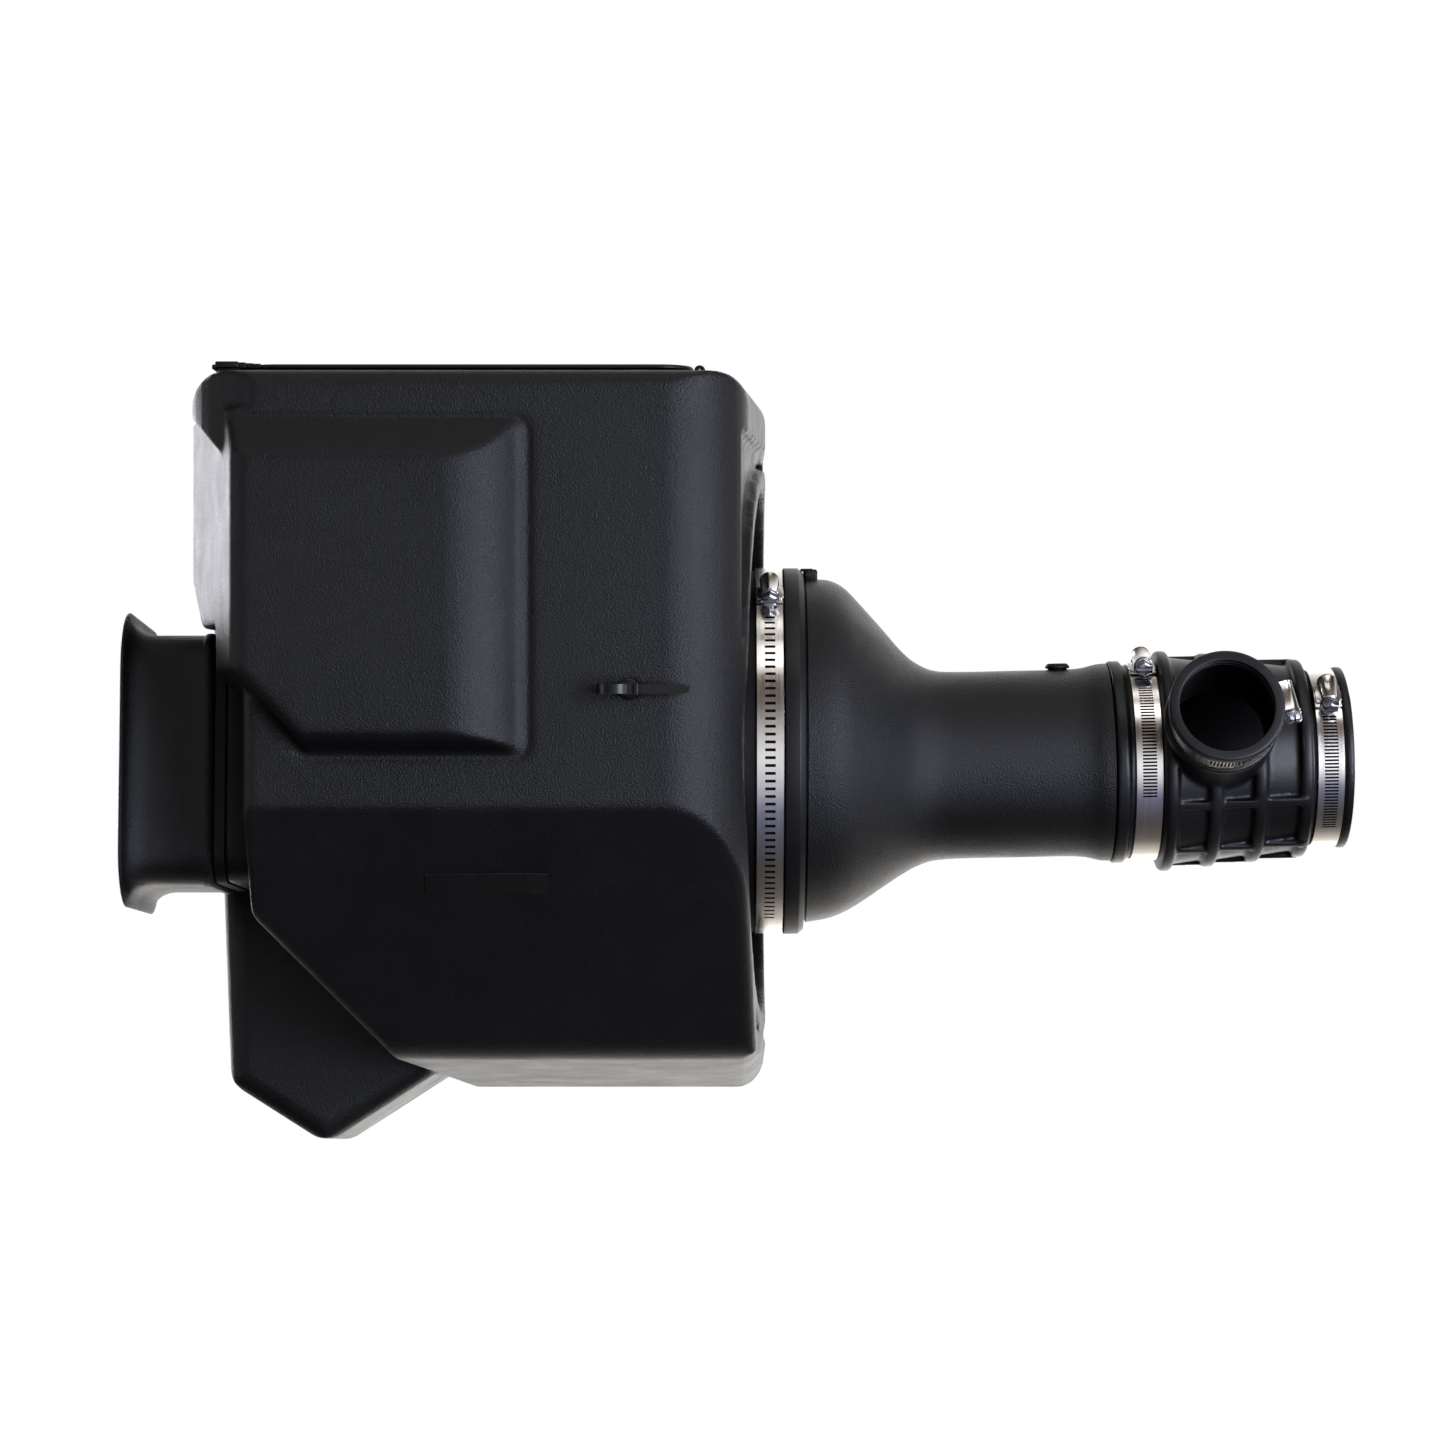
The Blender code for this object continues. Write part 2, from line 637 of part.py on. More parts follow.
def pull_tab():
    """The finger tab at the front left corner of the lid, which overhangs the corner of the box."""
    planes = [
        plane((TAB_LEFT_X, 0, 0), (-1, 0, 0)),
        plane((LID_LEFT_X + 6 * MM, 0, 0), (1, 0, 0)),
        plane((0, TAB_FRONT_Y, 0), (0, -1, 0)),
        plane((0, TAB_BACK_Y, 0), (0, 1, 0)),
        plane((0, 0, LID_UNDER_Z + HAIR), (0, 0, -1)),
        plane((0, 0, LID_TOP_Z + 1.5 * MM), (0, 0, 1)),
    ]
    planes += rounding(planes[0], planes[2], 3 * MM) + rounding(planes[0], planes[3], 10 * MM)
    planes += rounding(planes[0], planes[5], 1.2 * MM, 2)
    return convex(planes)


def build_lid():
    """The filter lid, modelled about its hinge axis."""
    plate = lid_prism(0, LID_UNDER_Z, LID_TOP_Z)
    rim = lid_ring(OPENING_INSET + 1 * MM, OPENING_INSET + 3.5 * MM, TOP_Z - 5 * MM, LID_UNDER_Z + 1 * MM)
    additions = [rim, pull_tab()]
    for near, far in knuckle_spans(for_lid=True):
        web = block((LID_AXIS_X - 5 * MM, near, LID_UNDER_Z + HAIR), (LID_AXIS_X, far, LID_TOP_Z - HAIR))
        additions += [mesh_of(web), y_rod(KNUCKLE_R, near, far, LID_AXIS_X, LID_AXIS_Z)]
    for k in range(3):
        x = LID_LEFT_X + 9 * MM + k * 6 * MM
        ridge_low = (x, TAB_FRONT_Y + 18 * MM, LID_TOP_Z - 0.7 * MM)
        ridge = block(ridge_low, (x + 2 * MM, TAB_BACK_Y - 8 * MM, LID_TOP_Z + 1.2 * MM))
        additions.append(mesh_of(ridge))
    body = united(plate, *additions)
    body = cut(body, y_rod(PIN_BORE_R, LID_FRONT_Y, LID_BACK_Y, LID_AXIS_X, LID_AXIS_Z))
    axis = Vector((LID_AXIS_X, BORE_Y, LID_AXIS_Z))
    body.transform(Matrix.Translation(-axis))
    link("access_lid", body, BOX_PLASTIC, Matrix.Translation(axis))


def build_lid_seal():
    seal = lid_ring(3 * MM, OPENING_INSET - 2 * MM, TOP_Z + GAP, LID_UNDER_Z - GAP)
    link("lid_seal", seal, COUPLER_RUBBER)


def build_lid_pin():
    near, far = knuckle_spans(for_lid=False)[0][0], knuckle_spans(for_lid=False)[-1][1]
    link("lid_hinge_pin", y_rod(PIN_R, near, far, LID_AXIS_X, LID_AXIS_Z), CLAMP_STEEL)


# ---------------------------------------------------------------- inlet scoop


def duct_shell(outer, inner):
    """A tube with the duct's section through outer and inner stations of (x, grow)."""
    rings = [duct_ring(x, grow) for x, grow in outer] + [duct_ring(x, grow) for x, grow in reversed(inner)]
    return mesh_of(moved(lofted(rings, closed=True), duct_matrix()))


def build_scoop():
    """The scoop slides over the neck, and its mouth flares into a lip."""
    lip = SCOOP_LIP_X
    outer = [(SCOOP_END_X, 0), (lip + 13 * MM, 0), (lip + 6 * MM, 2 * MM), (lip + 2.4 * MM, 5.5 * MM)]
    outer += [(lip + 1.2 * MM, SCOOP_FLARE), (lip, SCOOP_FLARE)]
    inner = [(SCOOP_END_X, -SCOOP_WALL), (lip + 12 * MM, -SCOOP_WALL), (lip + 4.4 * MM, 0), (lip, 4 * MM)]
    link("inlet_scoop", duct_shell(outer, inner), DUCT_PLASTIC)


def build_scoop_seal():
    neck = -(SCOOP_WALL + GAP)
    start, end = SCOOP_END_X + GAP, SHOULDER_X - GAP
    outer, inner = [(start, -0.6 * MM), (end, -0.6 * MM)], [(start, neck + GAP), (end, neck + GAP)]
    link("scoop_seal", duct_shell(outer, inner), COUPLER_RUBBER)


# ---------------------------------------------------------------- air filter


def bore_place():
    return Matrix.Translation((0, BORE_Y, 0))


def build_filter_flange():
    start, inside, lip = 91.7 * MM, 102.7 * MM, 128.9 * MM
    outer = [(start, 92 * MM), (inside, 92 * MM), (inside, FLANGE_R), (lip, FLANGE_R), (lip, 87.2 * MM)]
    outer += [(135.9 * MM, 87.2 * MM), (138.2 * MM, 85 * MM)]
    inner = [(138.2 * MM, BELL_R + GAP), (inside + GAP, BELL_R + GAP)]
    inner += [(inside + GAP, 70 * MM), (start, 70 * MM)]
    link("filter_flange", mesh_of(moved(turned(outer + inner), bore_place())), FLANGE_URETHANE)


def pleated_ring(x, radius):
    ring = []
    for k in range(2 * PLEATS):
        angle = math.pi * k / PLEATS
        r = radius if k % 2 == 0 else radius - PLEAT_DEPTH
        ring.append(Vector((x, r * math.cos(angle), r * math.sin(angle))))
    return ring


def build_filter_media():
    rings = []
    for x, radius in ((MEDIA_LEFT_X, MEDIA_LEFT_R), (MEDIA_RIGHT_X, MEDIA_RIGHT_R)):
        rings.append(pleated_ring(x, radius))
    for x, radius in ((MEDIA_RIGHT_X, MEDIA_RIGHT_R), (MEDIA_LEFT_X, MEDIA_LEFT_R)):
        rings.append(pleated_ring(x, radius - MEDIA_THICK))
    link("filter_media", mesh_of(moved(lofted(rings, closed=True), bore_place())), FILTER_PAPER)


def build_filter_cage():
    inward = PLEAT_DEPTH + MEDIA_THICK + GAP
    thick = 0.8 * MM
    outer = [(MEDIA_LEFT_X, MEDIA_LEFT_R - inward), (MEDIA_RIGHT_X, MEDIA_RIGHT_R - inward)]
    profile = outer + [(x, r - thick) for x, r in reversed(outer)]
    link("filter_cage", mesh_of(moved(turned(profile, 32), bore_place())), CLAMP_STEEL)


def build_filter_end_cap():
    cap = rod(MEDIA_LEFT_R + 3 * MM, 10 * MM, 32)
    place = Matrix.Translation((MEDIA_LEFT_X - GAP - 10 * MM, BORE_Y, 0))
    link("filter_end_cap", mesh_of(moved(cap, place)), FLANGE_URETHANE)


# ---------------------------------------------------------------- intake tube


def lower_axis(x):
    """The point on the rising axis of the tube and coupler at x."""
    return LOWER_START + Vector((x - LOWER_START.x, 0, (x - LOWER_START.x) * math.tan(RISE)))


def tube_stations():
    """(centre, radius, tilt) down the bell, then along the rising axis to the flared end and the spigot."""
    stations = []
    for x, top, bottom in BELL:
        centre = Vector((x, 0, (top + bottom) / 2)) * MM + Vector((0, BORE_Y, 0))
        stations.append((centre, (top - bottom) / 2 * MM, 0.0))
    for x, radius in FLARE:
        stations.append((lower_axis(x * MM), radius * MM, RISE))
    spigot_end = SPIGOT_START_X + SPIGOT_LENGTH
    for x in (SPIGOT_START_X, spigot_end):
        stations.append((lower_axis(x), SPIGOT_R, RISE))
    return stations


def tube_ring(station, inset):
    centre, radius, tilt = station
    ring = []
    for k in range(ROUND_STEPS):
        angle = 2 * math.pi * k / ROUND_STEPS
        spoke = Vector((0, math.cos(angle), math.sin(angle))) * (radius - inset)
        ring.append(centre + Matrix.Rotation(-tilt, 3, "Y") @ spoke)
    return ring


def locating_tab():
    """The flat tab on top of the bell that lines the tube up with the filter flange."""
    planes = [
        plane((138.5 * MM, 0, 0), (-1, 0, 0)),
        plane((145.2 * MM, 0, 0), (1, 0, 0)),
        plane((0, BORE_Y - 8 * MM, 0), (0, -1, 0)),
        plane((0, BORE_Y + 8 * MM, 0), (0, 1, 0)),
        plane((0, 0, 78.5 * MM), (0, 0, -1)),
        plane((0, 0, 86.8 * MM), (0, 0, 1)),
    ]
    planes += rounding(planes[1], planes[5], 2.5 * MM)
    return convex(planes)


def build_tube():
    stations = tube_stations()
    outer = [tube_ring(station, 0) for station in stations]
    inner = [tube_ring(station, TUBE_WALL) for station in stations[:2] + stations[3:]]
    tube = mesh_of(lofted(outer + inner[::-1], closed=True))
    tube = united(tube, locating_tab())
    seat = lower_axis(PLUG_X)
    hole = moved(rod(PLUG_R + GAP, 40 * MM), along(seat + Vector((0, 0, 20 * MM)), (0, 0, 1)))
    link("intake_tube", cut(tube, mesh_of(hole)), DUCT_PLASTIC)


def build_plug():
    """The rubber plug in the sensor hole: a low dome with a stem through the wall."""
    seat = lower_axis(PLUG_X)
    top = TUBE_R + 0.9 * MM
    stem = moved(rod(PLUG_R, 8 * MM), along(seat + Vector((0, 0, TUBE_R - 6 * MM)), (0, 0, 1)))
    dome = moved(rod(PLUG_RIM_R, 2.2 * MM, 24, PLUG_R), along(seat + Vector((0, 0, top)), (0, 0, 1)))
    slot_low = (PLUG_X - 0.8 * MM, BORE_Y - 3 * MM, seat.z + top + 1.2 * MM)
    slot = block(slot_low, (PLUG_X + 0.8 * MM, BORE_Y + 3 * MM, seat.z + top + 10 * MM))
    link("sensor_plug", cut(united(mesh_of(dome), mesh_of(stem)), mesh_of(slot)), COUPLER_RUBBER)


# ---------------------------------------------------------------- coupler and side port


def coupler_place():
    return Matrix.Translation(lower_axis(COUPLER_X)) @ Matrix.Rotation(-RISE, 4, "Y")


def port_place():
    """X runs from the coupler's axis out through the port."""
    return along(lower_axis(PORT_X), (0, -math.cos(PORT_TILT), math.sin(PORT_TILT)))


def coupler_body_r(s):
    return 48.6 * MM - 0.08 * (s - 34.5 * MM)


def coupler_profile():
    """The outside: end lips, two band grooves, and four hoop beads on a tapering body."""
    profile = [(0, 48.3), (5.5, 48.3), (7, 46.0), (21.4, 46.0)]
    profile = [(s * MM, r * MM) for s, r in profile]
    half = 4.4 * MM
    for distance, crest in BEADS:
        s, crest = distance * MM, crest * MM
        low = coupler_body_r(s) if distance > BEADS[0][0] else TUBE_BAND_R
        profile.append((s - half if distance > BEADS[0][0] else s - 3.6 * MM, low))
        profile += [(s - 2.2 * MM, crest - 0.8 * MM), (s, crest), (s + 2.2 * MM, crest - 0.8 * MM)]
        if distance < BEADS[-1][0]:
            profile.append((s + half, coupler_body_r(s)))
    profile += [(93.4 * MM, OUTLET_BAND_R), (107 * MM, OUTLET_BAND_R)]
    profile += [(107.6 * MM, 43.2 * MM), (COUPLER_LENGTH, 43.2 * MM)]
    return profile


def coupler_bore():
    """The inside, from the outlet end back to the tube's end."""
    return [
        (COUPLER_LENGTH, OUTLET_BORE_R),
        (88 * MM, OUTLET_BORE_R),
        (52 * MM, 41 * MM),
        (SPIGOT_LENGTH + MM, 41 * MM),
        (SPIGOT_LENGTH + MM, SPIGOT_R + GAP),
        (0, SPIGOT_R + GAP),
    ]


def port_profile():
    """The port's outside, from inside the coupler to the mouth lip."""
    ring, mouth = 61 * MM, PORT_LENGTH
    points = [(30 * MM, 27.5 * MM), (50 * MM, 25.6 * MM), (ring, 25.4 * MM), (ring + 1.2 * MM, 26.6 * MM)]
    points += [(ring + 4 * MM, 26.6 * MM), (ring + 5 * MM, PORT_GROOVE_R), (mouth - 5 * MM, PORT_GROOVE_R)]
    points += [(mouth - 4 * MM, 26 * MM), (mouth, 26 * MM)]
    return points


def build_coupler():
    """The ribbed body, with the side port joined on outside the bore and drilled through the wall."""
    body = mesh_of(moved(turned(coupler_profile() + coupler_bore()), coupler_place()))
    outside = port_profile()
    wall_start, wall_end = outside[0][0], outside[-1][0]
    port = turned(outside + [(wall_end, 10 * MM), (wall_start, 10 * MM)], PORT_STEPS)
    port = mesh_of(moved(port, port_place()))
    through = mesh_of(moved(rod(PORT_BORE_R, 120 * MM, PORT_STEPS), port_place()))
    core = [(s + 1e-6, r) for s, r in coupler_bore()[::-1]]
    keep_open = turned([(core[0][0], 5 * MM), *core, (core[-1][0], 5 * MM)][::-1])
    keep_open = mesh_of(moved(keep_open, coupler_place()))
    link("coupler", cut(united(body, cut(port, keep_open)), through), COUPLER_RUBBER)


# ---------------------------------------------------------------- hose clamps


def clamp(name, place, radius, lean, steps=ROUND_STEPS):
    """Band, worm housing and worm screw round local X; the housing leans from the top by an angle."""
    outer = radius + BAND_THICK
    half = BAND_WIDTH / 2
    band = mesh_of(turned([(-half, outer), (half, outer), (half, radius), (-half, radius)], steps))
    link(f"{name}_band", band, CLAMP_STEEL, place)
    place = place @ Matrix.Rotation(lean, 4, "X")

    base = outer + GAP
    axis_height = base + 0.9 * MM + WORM_R + GAP
    top = axis_height + WORM_R + GAP + 1.1 * MM
    half_x, half_y = BAND_WIDTH / 2 + 0.3 * MM, WORM_LENGTH / 2
    floor = plane((0, 0, base), (0, 0, -1))
    ends = [plane((0, y * half_y, 0), (0, y, 0)) for y in (-1, 1)]
    feet = [plane((x * half_x, 0, 0), (x, 0, 0)) for x in (-1, 1)]
    slopes = [plane((x * half_x, 0, base + 1.6 * MM), (x * 2.2, 0, 1.3)) for x in (-1, 1)]
    roof = plane((0, 0, top), (0, 0, 1))
    shoulders = rounding(roof, slopes[0], 2.5 * MM, 3) + rounding(roof, slopes[1], 2.5 * MM, 3)
    shape = convex([floor, roof, *ends, *feet, *slopes, *shoulders])
    worm_bore = rod(WORM_R + GAP, 40 * MM)
    bore_at = along((0, 20 * MM, axis_height), (0, -1, 0))
    link(f"{name}_housing", cut(shape, mesh_of(moved(worm_bore, bore_at))), CLAMP_STEEL, place)

    worm = rod(WORM_R, WORM_LENGTH + 0.6 * MM, 20)
    head_start = WORM_LENGTH + GAP
    head = moved(rod(HEAD_R, HEAD_LENGTH, 6), Matrix.Translation((head_start, 0, 0)))
    slot = block((head_start + 2.8 * MM, -6 * MM, -0.6 * MM), (head_start + 9 * MM, 6 * MM, 0.6 * MM))
    screw = cut(united(mesh_of(head), mesh_of(worm)), mesh_of(slot))
    screw_place = place @ along((0, half_y, axis_height), (0, -1, 0))
    link(f"{name}_screw", screw, CLAMP_STEEL, screw_place)


def build_clamps():
    """One clamp round the filter flange, one at each end of the coupler, and one round its side port."""
    flange_place = Matrix.Translation((FLANGE_BAND_X, BORE_Y, 0))
    clamp("flange_clamp", flange_place, FLANGE_R + GAP, FLANGE_CLAMP_LEAN)
    tube_place = coupler_place() @ Matrix.Translation((TUBE_BAND_AT, 0, 0))
    clamp("tube_clamp", tube_place, TUBE_BAND_R + GAP, TUBE_CLAMP_LEAN)
    outlet_place = coupler_place() @ Matrix.Translation((OUTLET_BAND_AT, 0, 0))
    clamp("outlet_clamp", outlet_place, OUTLET_BAND_R + GAP, OUTLET_CLAMP_LEAN)
    groove = port_place() @ Matrix.Translation((PORT_LENGTH - PORT_BAND_FROM_MOUTH, 0, 0))
    turned_round = groove @ Matrix.Rotation(math.pi, 4, "Z")
    clamp("port_clamp", turned_round, PORT_GROOVE_R + GAP, PORT_CLAMP_LEAN, PORT_STEPS)


# ---------------------------------------------------------------- cable tie


def build_cable_tie():
    """A push-mount tie: a fir-tree stem in the box wall, a disc, a head, and a strap closed in a loop."""
    face, thick = FRONT_Y, 1.1 * MM
    out = Vector((0, -1, 0))
    stem = mesh_of(moved(rod(2.4 * MM, 14 * MM), along((TIE_X, face + 12 * MM, TIE_Z), out)))
    disc = mesh_of(moved(rod(6 * MM, 1.4 * MM), along((TIE_X, face - GAP, TIE_Z), out)))
    sides = [plane((TIE_X + x * 3.6 * MM, 0, 0), (x, 0, 0)) for x in (-1, 1)]
    ends = [plane((0, 0, TIE_Z + z * 3.2 * MM), (0, 0, z)) for z in (-1, 1)]
    faces = [plane((0, face - 7 * MM, 0), (0, -1, 0)), plane((0, face - MM, 0), (0, 1, 0))]
    head = convex([*sides, *ends, *faces])
    inside, half = TIE_LOOP_R - thick, TIE_STRAP_HALF
    ring = turned([(-half, TIE_LOOP_R), (half, TIE_LOOP_R), (half, inside), (-half, inside)], 24)
    strap_y = face - 4.4 * MM
    loop_at = Vector((TIE_X - 5.6 * MM, strap_y - TIE_LOOP_R + thick / 2, TIE_Z))
    loop = mesh_of(moved(ring, along(loop_at, (0, 0, 1))))
    tail_low = (TIE_X, strap_y - thick - HAIR, TIE_Z - half - HAIR)
    tail = mesh_of(block(tail_low, (TIE_X + 26 * MM, strap_y - HAIR, TIE_Z + half + HAIR)))
    link("cable_tie", united(head, disc, stem, loop, tail), TIE_NYLON)


build_box()
build_inserts()
build_lid()
build_lid_seal()
build_lid_pin()
build_scoop()
build_scoop_seal()
build_filter_flange()
build_filter_media()
build_filter_cage()
build_filter_end_cap()
build_tube()
build_plug()
build_coupler()
build_clamps()
build_cable_tie()
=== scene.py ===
"""Looks of the closed-box cold air intake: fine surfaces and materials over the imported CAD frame.

Metres, +Z up, in the CAD's frame: X runs along the bore towards the engine, and the box's front faces -Y.
"""

import math

import bmesh
import bpy
from mathutils import Matrix, Vector


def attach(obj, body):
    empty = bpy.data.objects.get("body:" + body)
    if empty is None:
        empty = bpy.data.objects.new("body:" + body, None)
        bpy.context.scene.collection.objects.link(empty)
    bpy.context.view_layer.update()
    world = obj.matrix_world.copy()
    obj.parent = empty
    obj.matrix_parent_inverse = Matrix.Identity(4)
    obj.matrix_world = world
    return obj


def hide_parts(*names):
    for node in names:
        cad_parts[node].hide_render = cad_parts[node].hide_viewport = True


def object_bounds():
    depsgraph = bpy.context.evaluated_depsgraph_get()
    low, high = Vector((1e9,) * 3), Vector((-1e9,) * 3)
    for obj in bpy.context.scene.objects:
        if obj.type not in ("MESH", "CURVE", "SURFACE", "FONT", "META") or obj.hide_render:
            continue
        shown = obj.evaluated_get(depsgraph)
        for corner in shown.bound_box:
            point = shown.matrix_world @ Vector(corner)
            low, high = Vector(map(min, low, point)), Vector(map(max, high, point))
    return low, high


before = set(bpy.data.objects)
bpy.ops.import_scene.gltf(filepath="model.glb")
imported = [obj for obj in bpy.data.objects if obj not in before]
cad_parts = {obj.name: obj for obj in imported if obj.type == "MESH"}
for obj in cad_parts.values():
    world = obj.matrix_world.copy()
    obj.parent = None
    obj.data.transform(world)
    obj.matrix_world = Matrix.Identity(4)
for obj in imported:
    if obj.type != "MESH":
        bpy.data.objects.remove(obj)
CAD_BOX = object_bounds()

MM = 0.001
BORE_Y = -140 * MM
BORE_CENTRE = Vector((0, BORE_Y, 0))
FRONT_Y = -290 * MM
BACK_Y = -8 * MM
TOP_Z = 169.6 * MM
RIGHT_X = 120.6 * MM  # right side, behind the drafted front part
RIGHT_FOLD_Y = -130 * MM
RIGHT_DRAFT = math.radians(4)
TOP_RIGHT_R = 13 * MM
FRONT_RIGHT_R = 38 * MM
BACK_RIGHT_R = 26 * MM
TOP_EDGE_R = 8 * MM
CORNER_WIDTH = 24 * MM
HAIR = 0.05 * MM  # keeps two joined faces from lying in one plane
SLANT_X = -119 * MM  # where the slanted left side meets the front
SLANT_NORMAL = (-95, -27, 0)
PAD_PROUD = 15 * MM
PAD_TOP_Z = 146.8 * MM
PAD_TOP_NORMAL = (0, -16, 15)
SLOPE_TOP_Z = -24 * MM
DUCT_HALF = (53.5 * MM, 57.3 * MM)
DUCT_CORNER_R = 16 * MM
DUCT_CENTRE = Vector((0, -181.5 * MM, -6.9 * MM))
DUCT_TILT = math.radians(-5.1)
TIE_AT = Vector((58.6 * MM, FRONT_Y, 28.3 * MM))

# The tube's lower end, the coupler and its port
RISE = math.radians(1.2)
AXIS_START = Vector((213.6 * MM, BORE_Y, -6.8 * MM))
PLUG_X = 261 * MM
COUPLER_X = 284.4 * MM
PORT_X = 331.5 * MM
PORT_TILT = math.radians(18)
PORT_BORE_R = 22.3 * MM
PORT_GROOVE_R = 24.2 * MM
TUBE_BAND_R = 46.0 * MM
OUTLET_BAND_R = 41.4 * MM
FLANGE_R = 86.2 * MM
GAP = 0.3 * MM

BELL = (  # (x, top z, bottom z) in mm
    (139.5, 81.8, -81.8),
    (150, 81.6, -79.9),
    (157.7, 78, -77),
    (165.3, 70.3, -72.7),
    (175.8, 58.6, -65.6),
    (185.9, 47.1, -58.9),
    (193.5, 41.3, -54.8),
    (201.4, 38.3, -52.4),
)
FLARE = (  # (x, radius) in mm
    (213.6, 44.6),
    (238, 44.6),
    (262, 44.6),
    (272, 45.2),
    (279, 46.8),
    (283.8, 47.2),
)
BEADS = ((25.3, 52.6), (45.9, 51.0), (67.0, 49.2), (88.9, 47.2))  # (along the coupler, radius) in mm
BEAD_HALF = 3.6  # half a bead's width at its foot, in mm
RIB_ANGLES = range(25, 264, 34)  # about the coupler, from the front downwards
RIB_SPANS = (  # (from, to, root radius, crest radius) in mm
    (25, 46, 46, 50.2),
    (45.8, 67.2, 44, 49.2),
    (67, 89, 42.5, 47.8),
)

# Lid
HINGE = Vector((89.7 * MM, BORE_Y, 172.4 * MM))
HINGE_PLACE = Matrix.Translation((HINGE.x, 0, HINGE.z)) @ Matrix.Rotation(math.pi / 2, 4, "Z")
KNUCKLES = 5
KNUCKLES_FROM = -248 * MM
KNUCKLE_WIDTH = 36 * MM
KNUCKLE_R = 2.5 * MM
PIN_R = 1.0 * MM
PIN_BORE_R = 1.35 * MM
LID_LEFT_X = -114 * MM
LID_FRONT_Y = -272 * MM
LID_BACK_Y = -44 * MM
LID_UNDER_Z = 171.2 * MM
LID_TOP_Z = 173.2 * MM
LID_CORNER_R = 16 * MM

# Filter and clamps
PLEATS = 32
PLEAT_STEPS = 8
PLEAT_DEPTH = 8 * MM
BAND_WIDTH = 12.7 * MM
BAND_THICK = 0.8 * MM
FLANGE_SLOTS = (3.56, 4.8, 1.35)  # pitch, length and width in mm
SMALL_SLOTS = (1.6, 6.6, 0.85)
FLANGE_CLAMP_X = 121.9 * MM
TUBE_CLAMP_ALONG = 15.1 * MM
OUTLET_CLAMP_ALONG = 100.6 * MM
PORT_CLAMP_ALONG = 72.5 * MM
WORM_RISE = 4.4 * MM  # from the housing's foot to the worm's axis
WORM_LENGTH = 15.2 * MM

ROUND = 144  # steps round a large turned piece
HOUSING_VOXEL = 1.5 * MM
COUPLER_VOXEL = 0.75 * MM
CREVICE_DEPTH = 60 * MM  # how far a surface looks round for the walls that shade it

CAMERA_AT = Vector((100 * MM, -2052 * MM, 13.6 * MM))
LENS = 99.6
LIGHTS_AIM = Vector((0.1, BORE_Y, 0.0))
WHITE = (1.0, 1.0, 1.0, 1.0)
BLACK = (0.0, 0.0, 0.0, 1.0)
WORLD_STRENGTH = 2.4
BRIGHTEST_TOWARDS = 0.2  # the X part of the direction where the surroundings are brightest
DIM_FROM, DIM_TO = 0.1, 0.6  # they fall off between these distances from it
SIDE_DIMMING = 0.18  # how much of them is left towards either side
SURROUNDINGS = (  # degrees from the front horizon up over the top, and colour
    (-180, (0.80, 0.80, 0.80)),
    (-158, (1.05, 1.03, 1.0)),
    (-134, (0.34, 0.315, 0.29)),
    (-105, (0.055, 0.05, 0.045)),
    (-75, (0.028, 0.026, 0.025)),
    (-50, (0.045, 0.047, 0.07)),
    (-36, (0.075, 0.078, 0.12)),
    (-16, (0.31, 0.31, 0.335)),
    (-2, (0.40, 0.40, 0.41)),
    (14, (0.22, 0.215, 0.215)),
    (30, (0.05, 0.04, 0.033)),
    (50, (0.05, 0.035, 0.025)),
    (57, (0.95, 0.93, 0.93)),
    (67, (0.95, 0.93, 0.93)),
    (74, (0.03, 0.025, 0.02)),
    (112, (0.10, 0.09, 0.08)),
    (140, (0.44, 0.43, 0.42)),
    (180, (0.80, 0.80, 0.80)),
)


# ---- node helpers


